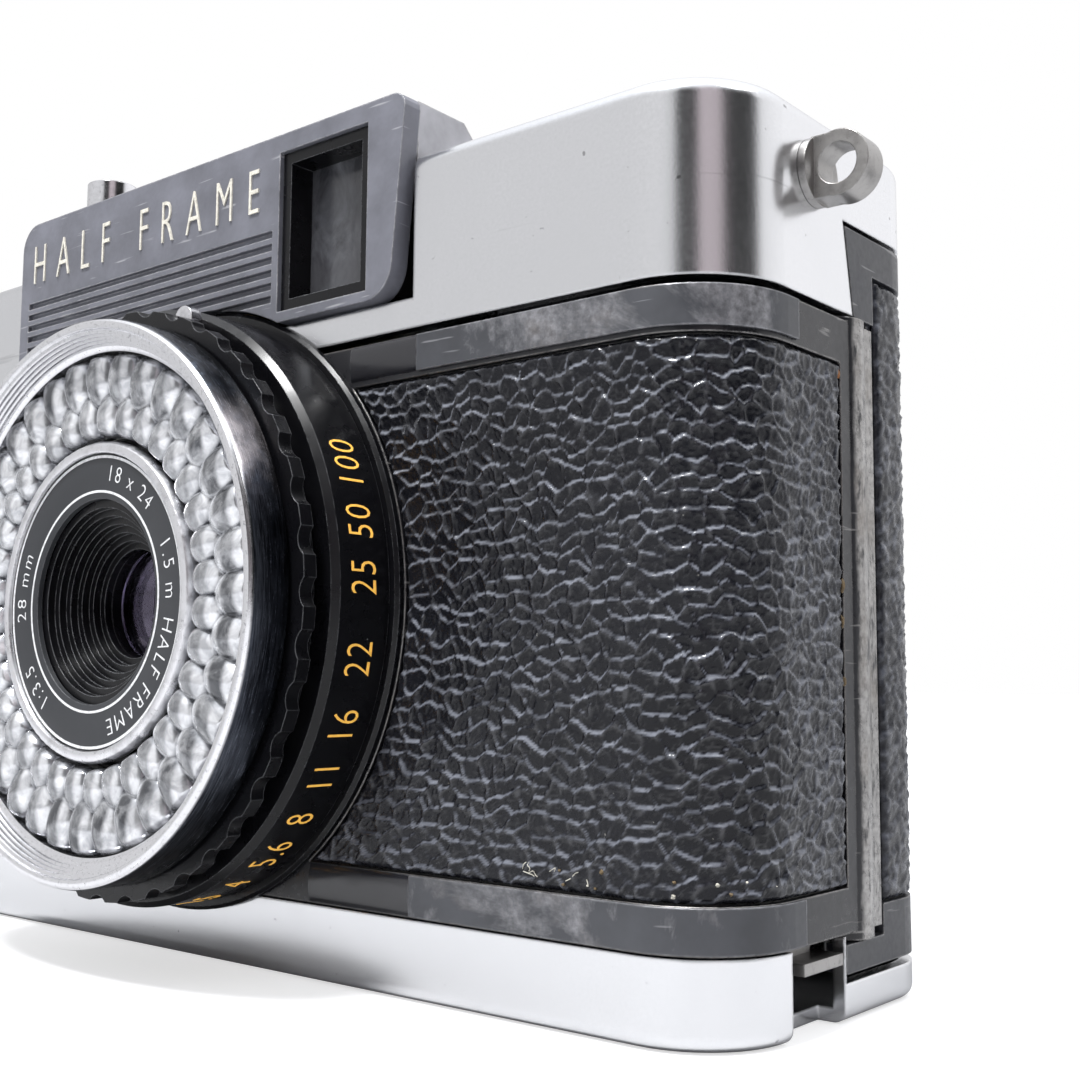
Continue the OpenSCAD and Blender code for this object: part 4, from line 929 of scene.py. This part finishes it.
def fibre(name, start, spread, seed, radius=0.035):
    """A curled lint fibre as a thin closed tube."""
    rng = np.random.default_rng(seed)
    steps, around = 14, 6
    t = np.linspace(0, 1, steps)
    wave = rng.normal(size=(3, 3))
    path = np.array(start) + np.stack([t * spread[k] + 0.25 * np.sin(t * 5 + wave[k, 0]) * wave[k, 1] * t
                                       for k in range(3)], -1)
    tangent = np.gradient(path, axis=0)
    tangent /= np.linalg.norm(tangent, axis=1)[:, None]
    side = np.cross(tangent, [0.3, 0.5, 0.81])
    side /= np.linalg.norm(side, axis=1)[:, None]
    other = np.cross(tangent, side)
    angle = np.linspace(0, 2 * np.pi, around, endpoint=False)
    spokes = side[:, None] * np.cos(angle)[:, None] + other[:, None] * np.sin(angle)[:, None]
    points = path[:, None] + radius * spokes
    faces = [tuple(f) for f in grid_faces(steps, around, wrap_columns=True)]
    faces += [tuple(range(around)), tuple(range((steps - 1) * around, steps * around))[::-1]]
    new_piece(name, points.reshape(-1, 3), faces, LINT, "camera", slot="foam", smooth_deg=60)


rng = np.random.default_rng(5)
for k in range(10):
    s_at = PATH_FLAT - 12 + 22 * rng.random()
    x, y, nx, ny = (float(a[0]) for a in PATH(np.array([s_at])))
    crumb(f"glue_crumb_{k}", x + nx * 0.02, y + ny * 0.02, leather_lo.z + 0.5 + 1.2 * rng.random() ** 2,
          0.10 + 0.12 * rng.random(), GLUE_BROWN if k % 3 else LINT, 60 + k, (1, 0.8, 0.8))
for k in range(7):
    s_at = PATH_FLAT - 10 + 9 * rng.random()
    x, y, nx, ny = (float(a[0]) for a in PATH(np.array([s_at])))
    fibre(f"lint_{k}", (x + nx * 0.1, y + ny * 0.1, leather_lo.z + 0.6 + 0.8 * rng.random()),
          (1.2 - 2.4 * rng.random(), 0.0, 0.7 * rng.random()), 90 + k)
for k, (y, z) in enumerate(((0.55, 30.4), (0.45, 27.8), (0.6, 23.6))):
    crumb(f"strip_glue_{k}", HALF_W + 0.02, y, z, 0.35 - 0.05 * k, GLUE_BROWN, 120 + k, (0.5, 0.6, 1.4))
crumb("corner_glue", HALF_W + 0.0, 0.4, leather_hi.z - 0.8, 0.3, GLUE_RUST, 140, (0.4, 0.7, 1.2))


# ------------------------------------------------------------------ stage, light and camera

CAMERA_AZIMUTH = 39.31
CAMERA_PITCH = 5.79
CAMERA_ROLL = 0.34


def make_world():
    """A white studio: pure white behind, brightness by direction for everything the surfaces mirror."""
    world = bpy.data.worlds.new("studio")
    bpy.context.scene.world = world
    world.use_nodes = True
    tree = world.node_tree
    nodes, links = tree.nodes, tree.links
    coords = nodes.new("ShaderNodeTexCoord")
    split = nodes.new("ShaderNodeSeparateXYZ")
    links.new(coords.outputs["Generated"], split.inputs[0])
    turn = nodes.new("ShaderNodeMath")
    turn.operation = "ARCTAN2"
    links.new(split.outputs[1], turn.inputs[0])
    links.new(split.outputs[0], turn.inputs[1])
    unit = nodes.new("ShaderNodeMapRange")
    links.new(turn.outputs[0], unit.inputs["Value"])
    for key, value in (("From Min", -math.pi), ("From Max", math.pi)):
        unit.inputs[key].default_value = value
    ramp = nodes.new("ShaderNodeValToRGB")
    ramp.color_ramp.interpolation = "EASE"
    stops = ((-178, 0.66, 0), (-150, 0.74, 0), (-126, 0.78, 0), (-90, 0.80, 0), (-78, 0.72, 0), (-71, 0.03, 0),
             (-54, 0.03, 0), (-46, 0.62, 1), (-28, 0.55, 1), (-18, 0.02, 0), (13, 0.02, 0), (25, 1.0, 0),
             (70, 1.15, 0), (120, 0.85, 0), (178, 0.66, 0))
    elements = ramp.color_ramp.elements
    while len(elements) < len(stops):
        elements.new(0.5)
    for element, (degrees, level, pink) in zip(elements, stops):
        element.position = (degrees + 180) / 360
        element.color = (level, level * (0.88 if pink else 1.0), level * (0.93 if pink else 1.02), 1)
    links.new(unit.outputs[0], ramp.inputs[0])
    high = nodes.new("ShaderNodeMapRange")
    high.interpolation_type = "SMOOTHSTEP"
    links.new(split.outputs[2], high.inputs["Value"])
    high.inputs["From Min"].default_value = 0.55
    high.inputs["From Max"].default_value = 0.88
    studio = nodes.new("ShaderNodeMix")
    studio.data_type = "RGBA"
    links.new(high.outputs[0], studio.inputs[0])
    links.new(ramp.outputs[0], studio.inputs[6])
    studio.inputs[7].default_value = (1.25, 1.28, 1.34, 1)
    path = nodes.new("ShaderNodeLightPath")
    seen = nodes.new("ShaderNodeMix")
    seen.data_type = "RGBA"
    links.new(path.outputs["Is Camera Ray"], seen.inputs[0])
    links.new(studio.outputs[2], seen.inputs[6])
    seen.inputs[7].default_value = (1, 1, 1, 1)
    links.new(seen.outputs[2], nodes["Background"].inputs[0])
    nodes["Background"].inputs[1].default_value = 1.0


def area_light(name, azimuth, elevation, distance, size, power, color=(1, 1, 1)):
    """A soft lamp aimed at the camera body; azimuth 0 is in front of the lens side."""
    data = bpy.data.lights.new(name, "AREA")
    data.shape = "RECTANGLE"
    data.size, data.size_y = size
    data.energy = power
    data.color = color
    lamp = bpy.data.objects.new(name, data)
    a, e = math.radians(azimuth), math.radians(elevation)
    aim = Vector((0, 0, 30 * MM))
    back = Vector((math.sin(a) * math.cos(e), -math.cos(a) * math.cos(e), math.sin(e)))
    lamp.location = aim + back * distance
    lamp.rotation_mode = "QUATERNION"
    lamp.rotation_quaternion = (-back).to_track_quat("-Z", "Y")
    bpy.context.scene.collection.objects.link(lamp)
    return lamp


def make_floor():
    bpy.ops.mesh.primitive_plane_add(size=6, location=(0, 0, -0.05 * MM))
    floor = bpy.context.object
    floor.name = "floor"
    s = Shader("floor_paper", Roughness=0.75)
    s.set(s.bsdf, "Base Color", s.mix(s.noise(40, 3), (0.47, 0.475, 0.485), (0.50, 0.50, 0.51)))
    s.set(s.bsdf, "Emission Color", (1, 1, 1))
    seen = s.add("ShaderNodeLightPath").outputs["Is Camera Ray"]
    s.set(s.bsdf, "Emission Strength", s.math("MULTIPLY", seen, 0.62))
    floor.data.materials.append(s.material)


def make_camera():
    data = bpy.data.cameras.new("photo_camera")
    data.sensor_width = 36
    data.lens = 46.45
    data.clip_start, data.clip_end = 0.005, 20
    cam = bpy.data.objects.new("photo_camera", data)
    azimuth, pitch, roll = (math.radians(a) for a in (CAMERA_AZIMUTH, CAMERA_PITCH, CAMERA_ROLL))
    forward = Vector((-math.sin(azimuth) * math.cos(pitch), math.cos(azimuth) * math.cos(pitch),
                      math.sin(pitch)))
    cam.location = Vector((106.76, -90.09, 23.47)) * MM
    cam.rotation_mode = "QUATERNION"
    cam.rotation_quaternion = forward.to_track_quat("-Z", "Y") @ \
        Matrix.Rotation(roll, 3, "Z").to_quaternion()
    bpy.context.scene.collection.objects.link(cam)
    bpy.context.scene.camera = cam


make_world()
make_floor()
make_camera()
area_light("key", 5, 68, 0.7, (0.12, 0.12), 7.5)
area_light("side", 100, 55, 0.7, (0.25, 0.25), 1.3)

bpy.context.scene.view_settings.view_transform = "Standard"
